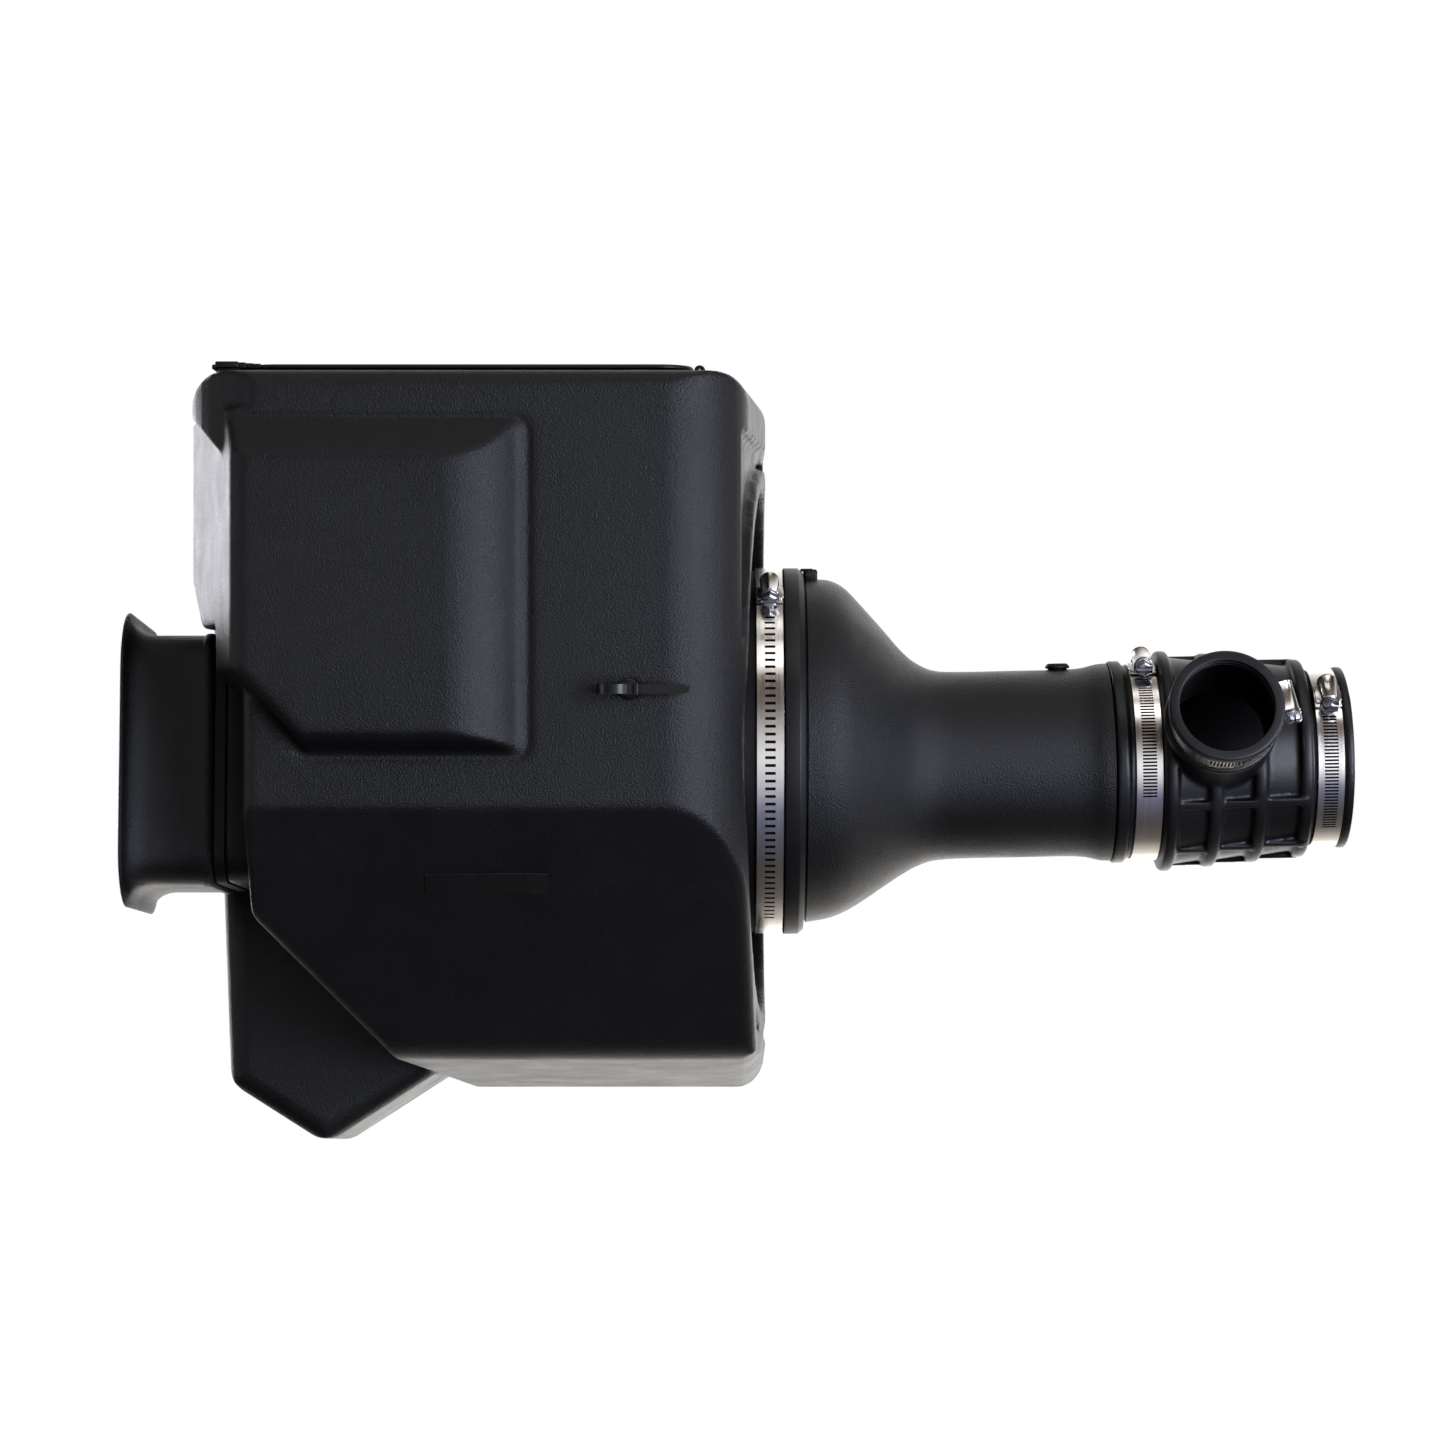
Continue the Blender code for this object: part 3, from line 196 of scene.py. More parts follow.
class Nodes:
    """The node tree of a material or a world, with short ways to add and join nodes."""

    def __init__(self, owner, shader="Principled BSDF"):
        owner.use_nodes = True
        self.owner = owner
        self.tree = owner.node_tree
        self.shader = self.tree.nodes[shader]
        coordinates = self.tree.nodes.new("ShaderNodeTexCoord").outputs
        self.place = coordinates["Object"]
        self.direction = coordinates["Generated"]

    def add(self, kind, inputs=None, **settings):
        node = self.tree.nodes.new(kind)
        for key, value in settings.items():
            setattr(node, key, value)
        for key, value in (inputs or {}).items():
            self.join(value, node.inputs[key])
        return node

    def join(self, value, socket):
        if isinstance(value, bpy.types.NodeSocket):
            self.tree.links.new(value, socket)
        else:
            socket.default_value = value

    def stretched(self, scale):
        return self.add("ShaderNodeMapping", {"Vector": self.place, "Scale": scale}).outputs["Vector"]

    def noise(self, scale, detail=4.0, roughness=0.55, vector=None):
        inputs = {"Vector": vector or self.place, "Scale": scale, "Detail": detail, "Roughness": roughness}
        return self.add("ShaderNodeTexNoise", inputs).outputs["Fac"]

    def cells(self, scale, feature="F1"):
        inputs = {"Vector": self.place, "Scale": scale}
        return self.add("ShaderNodeTexVoronoi", inputs, feature=feature).outputs["Distance"]

    def spread(self, value, low, high, from_low=0.3, from_high=0.7):
        ranges = {"From Min": from_low, "From Max": from_high, "To Min": low, "To Max": high}
        return self.add("ShaderNodeMapRange", {"Value": value, **ranges}).outputs["Result"]

    def maths(self, operation, first, second=0.0):
        return self.add("ShaderNodeMath", {0: first, 1: second}, operation=operation).outputs["Value"]

    def mixed(self, factor, first, second):
        node = self.add("ShaderNodeMix", data_type="RGBA")
        self.join(factor, node.inputs[0])
        for socket, value in ((node.inputs[6], first), (node.inputs[7], second)):
            self.join((*value, 1.0) if isinstance(value, tuple) else value, socket)
        return node.outputs[2]

    def bump(self, height, distance, strength=1.0, normal=None):
        inputs = {"Height": height, "Distance": distance, "Strength": strength}
        if normal is not None:
            inputs["Normal"] = normal
        return self.add("ShaderNodeBump", inputs).outputs["Normal"]

    def shaded_finish(self, colour, roughness, normal, specular):
        """Finishes a dark material with painted shade: ambient occlusion makes its colour and shine both
        die away down holes and crevices.
        """
        shade = self.add("ShaderNodeAmbientOcclusion", {"Distance": CREVICE_DEPTH}, samples=6).outputs["AO"]
        # painted shade: where nearby walls close in, the colour is blended towards near-black and the shine
        # is scaled down
        painted_shade_mask = self.spread(shade, 0.03, 1.0, 0.26, 0.7)
        self.join(self.maths("MULTIPLY", painted_shade_mask, specular), self.shader.inputs["Specular IOR Level"])
        return self.finish(self.mixed(painted_shade_mask, (0.0004, 0.0004, 0.0004), colour), roughness, normal)

    def finish(self, colour=None, roughness=None, normal=None, **values):
        for key, value in (("Base Color", colour), ("Roughness", roughness), ("Normal", normal)):
            if value is not None:
                self.join(value, self.shader.inputs[key])
        for key, value in values.items():
            self.shader.inputs[key.replace("_", " ")].default_value = value
        return self.owner


def material_nodes(name):
    return Nodes(bpy.data.materials.new(name))


def moulded(name, dark, light, rough, grain_size, grain_depth, specular=0.34):
    """Black moulded plastic: leathery grain, dust-fine mottling, and slow changes of tone and polish."""
    n = material_nodes(name)
    slow = n.noise(9.0, 3.0)
    grain = n.cells(1.0 / grain_size, "SMOOTH_F1")
    fine = n.noise(2.2 / grain_size, 3.0, 0.6)
    pebbles = n.maths("ADD", n.maths("MULTIPLY", grain, 0.75), n.maths("MULTIPLY", fine, 0.6))
    patches = n.noise(42.0, 5.0, 0.6)
    tone = n.mixed(n.spread(slow, 0.0, 1.0), dark, light)
    colour = n.mixed(n.spread(patches, 0.0, 0.35), tone, tuple(c * 1.5 for c in light))
    polish = n.maths("ADD", n.spread(patches, rough - 0.05, rough + 0.05), n.spread(fine, -0.04, 0.04))
    wave = n.bump(n.noise(28.0, 2.0), 0.4 * MM, 0.12)
    normal = n.bump(pebbles, grain_depth, 1.0, wave)
    return n.shaded_finish(colour, polish, normal, specular)


def rubber(name, tone, rough, specular):
    """Moulded rubber: near-smooth skin with a faint bloom, tiny pits and rubbed patches."""
    n = material_nodes(name)
    bloom = n.noise(16.0, 6.0, 0.65)
    pits = n.cells(1500.0)
    fine = n.noise(900.0, 2.0)
    colour = n.mixed(n.spread(bloom, 0.0, 1.0, 0.35, 0.75), tone, tuple(c * 1.8 + 0.002 for c in tone))
    polish = n.maths("ADD", n.spread(bloom, rough - 0.06, rough + 0.08), n.spread(fine, -0.03, 0.03))
    skin = n.bump(n.maths("ADD", pits, fine), 0.03 * MM, 0.5)
    normal = n.bump(n.noise(60.0, 3.0), 0.3 * MM, 0.12, skin)
    return n.shaded_finish(colour, polish, normal, specular)


def steel(name, tone, rough, direction):
    """Rolled stainless strip: fine brushing along one direction, faint heat tint and handling marks."""
    n = material_nodes(name)
    brushed = n.noise(1.0, 4.0, 0.7, n.stretched(direction))
    smudge = n.noise(70.0, 4.0, 0.6)
    colour = n.mixed(n.spread(smudge, 0.0, 0.5), tone, (tone[0] * 0.82, tone[1] * 0.79, tone[2] * 0.76))
    polish = n.maths("ADD", n.spread(brushed, rough - 0.05, rough + 0.08), n.spread(smudge, 0.0, 0.06))
    normal = n.bump(brushed, 0.01 * MM, 0.35)
    return n.finish(colour, polish, normal, Metallic=1.0)


def gauze():
    """Oiled cotton gauze: crossed threads over the pleats."""
    n = material_nodes("cotton_gauze")
    threads = []
    for direction in "XZ":
        wave = n.add("ShaderNodeTexWave", {"Vector": n.place, "Scale": 260.0}, bands_direction=direction)
        threads.append(wave.outputs["Fac"])
    weave = n.maths("MULTIPLY", *threads)
    stain = n.noise(30.0, 5.0)
    colour = n.mixed(n.spread(stain, 0.0, 1.0), (0.012, 0.05, 0.22), (0.03, 0.12, 0.38))
    return n.finish(colour, n.spread(weave, 0.9, 0.65, 0.0, 1.0), n.bump(weave, 0.3 * MM, 0.8))


BOX = moulded(
    "box_polyethylene", (0.0042, 0.0042, 0.0044), (0.0060, 0.0060, 0.0063), 0.37, 0.75 * MM, 0.28 * MM, 0.28
)
DUCT = moulded(
    "duct_plastic", (0.0040, 0.0040, 0.0042), (0.0056, 0.0056, 0.0058), 0.36, 0.65 * MM, 0.34 * MM, 0.35
)
LID = moulded("lid_plastic", (0.0042, 0.0042, 0.0045), (0.0058, 0.0058, 0.0061), 0.36, 0.7 * MM, 0.08 * MM)
NYLON = moulded("tie_nylon", (0.0045, 0.0045, 0.0044), (0.0065, 0.0065, 0.0062), 0.34, 0.5 * MM, 0.01 * MM)
COUPLER = rubber("coupler_rubber", (0.0040, 0.0040, 0.0044), 0.38, 0.36)
SEAL = rubber("seal_rubber", (0.0045, 0.0045, 0.0045), 0.6, 0.3)
URETHANE = rubber("flange_urethane", (0.0050, 0.0050, 0.0052), 0.42, 0.34)
BAND_STEEL = steel("band_stainless", (0.93, 0.91, 0.88), 0.17, (900.0, 30.0, 30.0))
HOUSING_STEEL = steel("housing_stainless", (0.74, 0.72, 0.70), 0.13, (300.0, 300.0, 300.0))
SCREW_STEEL = steel("screw_stainless", (0.56, 0.57, 0.62), 0.20, (300.0, 300.0, 300.0))
CAGE_STEEL = steel("cage_zinc", (0.62, 0.62, 0.60), 0.32, (40.0, 40.0, 40.0))
BRASS = steel("insert_brass", (0.72, 0.50, 0.20), 0.3, (300.0, 300.0, 300.0))
GAUZE = gauze()


# ---- mesh helpers


def linked(name, data):
    obj = bpy.data.objects.new(name, data)
    bpy.context.scene.collection.objects.link(obj)
    return obj


def mesh_from(bm, name):
    bmesh.ops.recalc_face_normals(bm, faces=bm.faces[:])
    mesh = bpy.data.meshes.new(name)
    bm.to_mesh(mesh)
    bm.free()
    return mesh


def piece(name, mesh, material, body="intake", replaces=(), smooth_below=38):
    """A finished piece: placed, shaded, riding on its body and standing for its CAD nodes."""
    obj = linked(name, mesh)
    mesh.materials.clear()
    mesh.materials.append(material)
    mesh.shade_smooth()
    mesh.set_sharp_from_angle(angle=math.radians(smooth_below))
    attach(obj, body)
    if replaces:
        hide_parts(*replaces)


def evaluated(mesh, *modifiers):
    """The mesh that a stack of modifiers, each a (kind, settings) pair, makes of a mesh."""
    obj = linked("working", mesh)
    for kind, settings in modifiers:
        modifier = obj.modifiers.new(kind, kind)
        for key, value in settings.items():
            setattr(modifier, key, value)
    graph = bpy.context.evaluated_depsgraph_get()
    graph.update()
    made = bpy.data.meshes.new_from_object(obj.evaluated_get(graph))
    bpy.data.objects.remove(obj)
    return made


def boolean(mesh, operation, *others):
    for other in others:
        tool = linked("tool", other)
        settings = {"operation": operation, "object": tool, "solver": "EXACT"}
        mesh = evaluated(mesh, ("BOOLEAN", settings))
        bpy.data.objects.remove(tool)
    return mesh


def remeshed(mesh, voxel, smoothing, keep):
    """Rebuilds a joined solid as one even skin, with its edges and inner corners softened."""
    return evaluated(
        mesh,
        ("REMESH", {"mode": "VOXEL", "voxel_size": voxel}),
        ("SMOOTH", {"factor": 0.5, "iterations": smoothing}),
        ("DECIMATE", {"ratio": keep}),
    )


def loft(rings, closed=False):
    """Skins rings of points. A closed loft joins its last ring to its first, an open one is capped."""
    bm = bmesh.new()
    rows = [[bm.verts.new(point) for point in ring] for ring in rings]
    pairs = list(zip(rows, rows[1:]))
    if closed:
        pairs.append((rows[-1], rows[0]))
    count = len(rows[0])
    for here, after in pairs:
        for i in range(count):
            j = (i + 1) % count
            bm.faces.new((here[i], here[j], after[j], after[i]))
    if not closed:
        bm.faces.new(rows[0])
        bm.faces.new(rows[-1])
    return bm


def moved(bm, matrix):
    bmesh.ops.transform(bm, matrix=matrix, verts=bm.verts[:])
    return bm


def filleted(points, radius, steps, closed=True):
    """A polyline with its corners rounded. A point may carry its own radius as a third number."""
    flat = [Vector((p[0], p[1])) for p in points]
    radii = [p[2] if len(p) > 2 else radius for p in points]
    count = len(flat)
    made = []
    for i, here in enumerate(flat):
        before, after = flat[i - 1] - here, flat[(i + 1) % count] - here
        turn = before.angle(after, math.pi)
        is_end = not closed and i in (0, count - 1)
        if is_end or turn > math.radians(178) or radii[i] <= 0:
            made.append((here.x, here.y))
            continue
        cut = min(radii[i] / math.tan(turn / 2), min(before.length, after.length) * 0.48)
        start, end = here + before.normalized() * cut, here + after.normalized() * cut
        for k in range(steps + 1):
            t = k / steps
            point = start * (1 - t) ** 2 + here * 2 * t * (1 - t) + end * t * t
            made.append((point.x, point.y))
    return made


def circle(steps):
    """(cosine, sine) pairs round a circle."""
    angles = [2 * math.pi * k / steps for k in range(steps)]
    return [(math.cos(angle), math.sin(angle)) for angle in angles]


def turned(profile, steps, place=None):
    """A ring-shaped solid turned about X from a closed outline of (x, radius) points."""
    bm = loft([[Vector((x, r * c, r * s)) for x, r in profile] for c, s in circle(steps)], closed=True)
    return moved(bm, place) if place is not None else bm


def along(point, direction):
    return Matrix.Translation(point) @ Vector(direction).to_track_quat("X", "Z").to_matrix().to_4x4()


def in_mm(rows):
    """Rows of numbers in mm, as metres."""
    return [tuple(number * MM for number in row) for row in rows]


def turned_mm(outline, radius, corner_steps, steps, place):
    """A turned mesh from an outline of (along, radius, fillet) rows in mm."""
    return mesh_from(turned(filleted(in_mm(outline), radius * MM, corner_steps), steps, place), "turned")


def rod(radius, length, steps):
    bm = bmesh.new()
    place = Matrix.Translation((length / 2, 0, 0)) @ Matrix.Rotation(math.pi / 2, 4, "Y")
    bmesh.ops.create_cone(
        bm, cap_ends=True, segments=steps, radius1=radius, radius2=radius, depth=length, matrix=place
    )
    return bm


def bar(low, high, bevel=0.0, steps=3):
    """A block between two corners with rounded edges."""
    low, high = Vector(low), Vector(high)
    bm = bmesh.new()
    size = Matrix.Diagonal((*(high - low), 1))
    bmesh.ops.create_cube(bm, size=1.0, matrix=Matrix.Translation((low + high) / 2) @ size)
    if bevel:
        bmesh.ops.bevel(bm, geom=bm.edges[:], offset=bevel, segments=steps, profile=0.5, affect="EDGES")
    return bm


def block(low, high, bevel=0.0, steps=3):
    """A bar given in mm."""
    return bar(Vector(low) * MM, Vector(high) * MM, bevel * MM, steps)


def rounded_outline(half_u, half_v, radius, steps):
    points = []
    for corner in range(4):
        middle = math.pi / 4 + corner * math.pi / 2
        centre_u = math.copysign(half_u - radius, math.cos(middle))
        centre_v = math.copysign(half_v - radius, math.sin(middle))
        for k in range(steps + 1):
            angle = (corner + k / steps) * math.pi / 2
            points.append((centre_u + radius * math.cos(angle), centre_v + radius * math.sin(angle)))
    return points


def smooth_between(stations, steps):
    """Catmull-Rom points through rows of numbers, steps to each span."""
    rows = [stations[0], *stations, stations[-1]]
    made = []
    for i in range(1, len(rows) - 2):
        for k in range(steps):
            t = k / steps
            row = []
            for a, b, c, d in zip(rows[i - 1], rows[i], rows[i + 1], rows[i + 2]):
                bend = (2 * a - 5 * b + 4 * c - d) * t * t + (3 * b - a - 3 * c + d) * t**3
                row.append(0.5 * (2 * b + (c - a) * t + bend))
            made.append(tuple(row))
    made.append(tuple(stations[-1]))
    return made


# ---- air box


def swept(points, radius, steps=10):
    """A round tube through points in a plane of constant Y, as the cutter of a moulded groove."""
    rings = []
    for k, point in enumerate(points):
        ahead = points[min(k + 1, len(points) - 1)] - points[max(k - 1, 0)]
        deep = Vector((0, 1, 0))
        across = deep.cross(ahead).normalized()
        rings.append([point + (across * c + deep * s) * radius for c, s in circle(steps)])
    return mesh_from(loft(rings), "sweep")


def pad_groove():
    """The valley round the raised pad, where it meets the front."""
    depth = FRONT_Y - 1.3 * MM
    outline = [(-121, 148.6), (14.2, 148.2), (14.2, -2.0), (-84.5, -2.0), (-110, 21.5)]
    flat = filleted(in_mm(outline), 7 * MM, 6, closed=False)
    return swept([Vector((x, depth, z)) for x, z in flat], 2.4 * MM)


def plane(point, normal):
    return Vector(point), Vector(normal).normalized()


def rounding(first, second, radius, steps):
    """Planes that round the corner between two planes, all touching one cylinder."""
    (point_a, normal_a), (point_b, normal_b) = first, second
    across = normal_a.dot(normal_b)
    reach_a = point_a.dot(normal_a) - radius
    reach_b = point_b.dot(normal_b) - radius
    share_a = (reach_a - across * reach_b) / (1 - across * across)
    share_b = (reach_b - across * reach_a) / (1 - across * across)
    axis_point = normal_a * share_a + normal_b * share_b
    turns = [normal_a.slerp(normal_b, k / steps) for k in range(1, steps)]
    return [(axis_point + outward * radius, outward) for outward in turns]


def convex(planes, name):
    """The convex solid behind all the planes."""
    bm = bar((-1, -1, -1), (1, 1, 1))
    for point, outward in planes:
        everything = bm.verts[:] + bm.edges[:] + bm.faces[:]
        made = bmesh.ops.bisect_plane(
            bm, geom=everything, dist=1e-7, plane_co=point, plane_no=outward, clear_outer=True
        )
        rim = [e for e in made["geom_cut"] if isinstance(e, bmesh.types.BMEdge)]
        if rim:
            bmesh.ops.contextual_create(bm, geom=rim)
    return mesh_from(bm, name)


def tight_corner():
    """The box's top right edge, which the mould leaves tighter than the CAD solid has it."""
    fold = RIGHT_FOLD_Y
    right = plane((RIGHT_X - HAIR, 0, 0), (1, 0, 0))
    draft = plane((RIGHT_X - HAIR, fold, 0), (math.cos(RIGHT_DRAFT), -math.sin(RIGHT_DRAFT), 0))
    top = plane((0, 0, TOP_Z - HAIR), (0, 0, 1))
    front = plane((0, FRONT_Y + HAIR, 0), (0, -1, 0))
    back = plane((0, BACK_Y - HAIR, 0), (0, 1, 0))
    inside = plane((RIGHT_X - CORNER_WIDTH, fold, TOP_Z - 1.5 * MM), (-1, math.tan(RIGHT_DRAFT), -1))
    planes = [right, draft, top, front, back, inside]
    planes += rounding(front, draft, FRONT_RIGHT_R, 14) + rounding(back, right, BACK_RIGHT_R, 8)
    planes += rounding(top, right, TOP_RIGHT_R, 9) + rounding(top, draft, TOP_RIGHT_R, 9)
    planes += rounding(top, front, TOP_EDGE_R, 4) + rounding(top, back, TOP_EDGE_R, 4)
    return convex(planes, "corner")


def pad_corner():
    """The pad's upper left corner, where its top slope runs on to the slanted side."""
    face = plane((0, FRONT_Y - PAD_PROUD + HAIR, 0), (0, -1, 0))
    upper = plane((0, FRONT_Y, PAD_TOP_Z - HAIR), PAD_TOP_NORMAL)
    slant = plane((SLANT_X + HAIR, FRONT_Y, 0), SLANT_NORMAL)
    behind = plane((0, FRONT_Y + 3 * MM, 0), (0, 1, 0))
    right = plane((-40 * MM, 0, 0), (1, 0, 0))
    low = plane((0, 0, 110 * MM), (0, 0, -1))
    planes = [face, upper, slant, behind, right, low]
    for first, second, radius, steps in ((face, upper, 6, 4), (face, slant, 9, 5), (upper, slant, 4, 3)):
        planes += rounding(first, second, radius * MM, steps)
    return convex(planes, "pad_corner")


def build_housing():
    """The moulded box: the CAD solid rebuilt as one soft-edged skin, below the hinge knuckles."""
    above = mesh_from(bar((-0.3, -0.4, TOP_Z + HAIR), (0.3, 0.1, TOP_Z + 30 * MM)), "above")
    solid = boolean(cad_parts["air_box"].data.copy(), "DIFFERENCE", above, pad_groove())
    solid = boolean(solid, "UNION", tight_corner(), pad_corner())
    skin = remeshed(solid, HOUSING_VOXEL, 5, 0.35)
    piece("housing_skin", skin, BOX, replaces=["air_box"], smooth_below=60)


def build_badge():
    """A blank raised field on the lower slope, as thick as a sheet of card."""
    down = Vector((0, 85, -117.5)).normalized()
    out = Vector((0, -117.5, -85)).normalized()
    top_corner = Vector((0, FRONT_Y, SLOPE_TOP_Z))
    turn = Matrix((Vector((1, 0, 0)), down, out)).transposed().to_4x4()
    badge = moved(block((-33, 36.4, -0.6), (22.5, 48, 0.55), 0.3), Matrix.Translation(top_corner) @ turn)
    piece("blank_badge", mesh_from(badge, "badge"), BOX)


def knuckle_bars(for_lid):
    """Round-ended hinge knuckles along the right edge of the lid, each with a foot."""
    made = []
    for k in range(int(for_lid), KNUCKLES, 2):
        near = KNUCKLES_FROM + k * KNUCKLE_WIDTH + GAP / 2
        far = near + KNUCKLE_WIDTH - GAP
        end = 0.5 * MM
        outline = [(near, PIN_BORE_R), (near, KNUCKLE_R - end), (near + end, KNUCKLE_R)]
        outline += [(far - end, KNUCKLE_R), (far, KNUCKLE_R - end), (far, PIN_BORE_R)]
        made.append(turned(outline, 28, HINGE_PLACE))
        if for_lid:
            low = (HINGE.x - 6 * MM, near, LID_UNDER_Z + 0.1 * MM)
            high = (HINGE.x - PIN_BORE_R - 0.2 * MM, far, LID_TOP_Z - 0.2 * MM)
        else:
            low = (HINGE.x - KNUCKLE_R, near, TOP_Z - 1 * MM)
            high = (HINGE.x + KNUCKLE_R, far, HINGE.z - PIN_BORE_R - 0.1 * MM)
        made.append(bar(low, high, 0.35 * MM, 2))
    return made


def joined(parts, name):
    """One mesh of several closed solids side by side."""
    whole = bmesh.new()
    for part in parts:
        bmesh.ops.recalc_face_normals(part, faces=part.faces[:])
        mesh = bpy.data.meshes.new("part")
        part.to_mesh(mesh)
        part.free()
        whole.from_mesh(mesh)
    mesh = bpy.data.meshes.new(name)
    whole.to_mesh(mesh)
    whole.free()
    return mesh


def build_hinge():
    piece("hinge_knuckles", joined(knuckle_bars(False), "knuckles"), LID)
    start, end, chamfer = KNUCKLES_FROM, KNUCKLES_FROM + KNUCKLES * KNUCKLE_WIDTH, 0.3 * MM
    outline = [(start, 0.001 * MM), (start, PIN_R - chamfer), (start + chamfer, PIN_R)]
    outline += [(end - chamfer, PIN_R), (end, PIN_R - chamfer), (end, 0.001 * MM)]
    pin = mesh_from(turned(outline, 24, HINGE_PLACE), "pin")
    piece("hinge_pin", pin, SCREW_STEEL, replaces=["lid_hinge_pin"])


def knurled_insert(x):
    """A brass insert set in the mounting pad: a sleeve with grooves outside and a thread inside."""
    outline = [(0, 3.1), (0, 4.6), (0.3, 4.9)]
    for k in range(6):
        groove = 1.2 + k * 1.25
        outline += [(groove, 4.9), (groove + 0.35, 4.55), (groove + 0.7, 4.9)]
    outline += [(9, 4.9), (9, 2.7)]
    for k in range(10):
        thread = 8.6 - k * 0.8
        outline += [(thread, 2.62), (thread - 0.4, 2.85)]
    return mesh_from(turned(in_mm(outline), 40, along((x, -GAP, 0), (0, -1, 0))), "insert")


def build_inserts():
    for k, x in enumerate((-30 * MM, 30 * MM), start=1):
        name = f"mount_insert_{k}"
        piece(f"threaded_insert_{k}", knurled_insert(x), BRASS, replaces=[name])


# ---- lid


def lid_ring(inset, z):
    right = HINGE.x - KNUCKLE_R - GAP
    centre = ((LID_LEFT_X + right) / 2, (LID_FRONT_Y + LID_BACK_Y) / 2)
    half = ((right - LID_LEFT_X) / 2 - inset, (LID_BACK_Y - LID_FRONT_Y) / 2 - inset)
    outline = rounded_outline(half[0], half[1], max(LID_CORNER_R - inset, 3 * MM), 10)
    return [Vector((centre[0] + x, centre[1] + y, z)) for x, y in outline]


def lid_loft(steps, closed=False):
    """A loft of the lid's outline through (inset in mm, height) steps."""
    return loft([lid_ring(inset * MM, z) for inset, z in steps], closed)


def lid_plate():
    """The plate: rounded edge, raised border, and a shallow field inside it."""
    top = LID_TOP_Z
    steps = [(0.5, LID_UNDER_Z), (0.0, LID_UNDER_Z + 0.5 * MM), (0.0, top - 0.9 * MM)]
    steps += [(0.25, top - 0.35 * MM), (0.8, top), (9.0, top), (9.8, top - 0.25 * MM)]
    steps += [(10.6, top - 0.8 * MM), (11.8, top - MM), (30.0, top - MM)]
    return lid_loft(steps)


def lid_rim():
    """The wall under the plate that centres the lid in its opening."""
    low, high = TOP_Z - 5 * MM, LID_UNDER_Z + 1 * MM
    steps = [(13.2, low), (13.0, low + MM), (13.0, high), (15.5, high), (15.5, low + MM), (15.3, low)]
    return lid_loft(steps, closed=True)


def lid_ribs():
    """Low stiffening ribs across the field of the lid."""
    made = []
    for x in range(-62, 47, 36):
        low = (x * MM, -252 * MM, LID_TOP_Z - 1.4 * MM)
        high = ((x + 2.4) * MM, -64 * MM, LID_TOP_Z - 0.3 * MM)
        made.append(bar(low, high, 0.4 * MM))
    return made


def lid_tab():
    """The finger tab at the front left corner: a thick end, three falling steps, and a hook below."""
    blocks = [  # (left, right, bottom, top, bevel) in mm
        (-126.2, -115.6, 171.4, 174.6, 0.8),
        (-127.6, -124.6, 171.0, 173.2, 0.6),
        (-116.0, -112.4, 171.4, 174.1, 0.4),
        (-112.8, -109.2, 171.4, 173.8, 0.4),
        (-109.6, -105.8, 171.4, 173.5, 0.3),
        (-124.6, -114.6, 169.9, 172, 0.5),
    ]
    made = []
    for k, (left, right, low, high, bevel) in enumerate(blocks):
        shorter = 0.5 * (k % 2)
        made.append(block((left, -271 + shorter, low), (right, -207 - shorter, high), bevel))
    for k in range(8):
        x = -125.2 + k * 1.1
        made.append(block((x, -262, 174.2), (x + 0.5, -216, 174.9), 0.15, 1))
    return made


def build_lid():
    parts = [lid_plate(), lid_rim(), *lid_ribs(), *lid_tab(), *knuckle_bars(True)]
    piece("lid_cover", joined(parts, "lid"), LID, "lid", ["access_lid"])
    low, high = TOP_Z + GAP, LID_UNDER_Z - GAP
    steps = [(3.4, low), (3.0, low + 0.5 * MM), (3.0, high - 0.5 * MM), (3.4, high)]
    steps += [(9.6, high), (10.0, high - 0.5 * MM), (10.0, low + 0.5 * MM), (9.6, low)]
    seal = mesh_from(lid_loft(steps, closed=True), "seal")
    piece("lid_gasket", seal, SEAL, "lid", ["lid_seal"])


# ---- scoop


def duct_ring(x, grow):
    radius = max(DUCT_CORNER_R + grow, 3 * MM)
    outline = rounded_outline(DUCT_HALF[0] + grow, DUCT_HALF[1] + grow, radius, 10)
    place = Matrix.Translation(DUCT_CENTRE) @ Matrix.Rotation(DUCT_TILT, 4, "X")
    return [place @ Vector((x, y, z)) for y, z in outline]


def duct_loft(rows, name):
    """A closed loft of the duct's section through (x, growth) rows in mm."""
    return mesh_from(loft([duct_ring(x, grow) for x, grow in in_mm(rows)], closed=True), name)


def build_scoop():
    """The scoop: a straight duct whose mouth flares into a rolled lip, with a bead at its seal."""
    outer = [(-131.5, -0.3), (-131.9, 0.0), (-133.6, 0.9), (-136.0, 0.9), (-137.6, 0.0), (-160.0, 0.0)]
    outer += [(-163.5, 0.5), (-166.5, 1.7), (-168.9, 3.5), (-170.4, 5.8), (-171.2, 8.4), (-171.5, 10.0)]
    outer += [(-171.9, 10.3), (-172.7, 10.1), (-173.0, 9.4)]
    inner = [(-173.0, 7.6), (-172.4, 5.2), (-171.2, 3.2), (-169.2, 1.0), (-166.4, -0.8), (-162.5, -2.0)]
    inner += [(-158.5, -2.4), (-131.9, -2.4), (-131.5, -2.1)]
    mesh = duct_loft(outer + inner, "scoop")
    piece("scoop_shell", mesh, DUCT, replaces=["inlet_scoop"], smooth_below=50)
    seal = [(-131.2, -1.0), (-130.8, -0.6), (-126.2, -0.6), (-125.8, -1.0), (-125.8, -2.3), (-131.2, -2.3)]
    piece("scoop_gasket", duct_loft(seal, "seal"), SEAL, replaces=["scoop_seal"])


# ---- filter


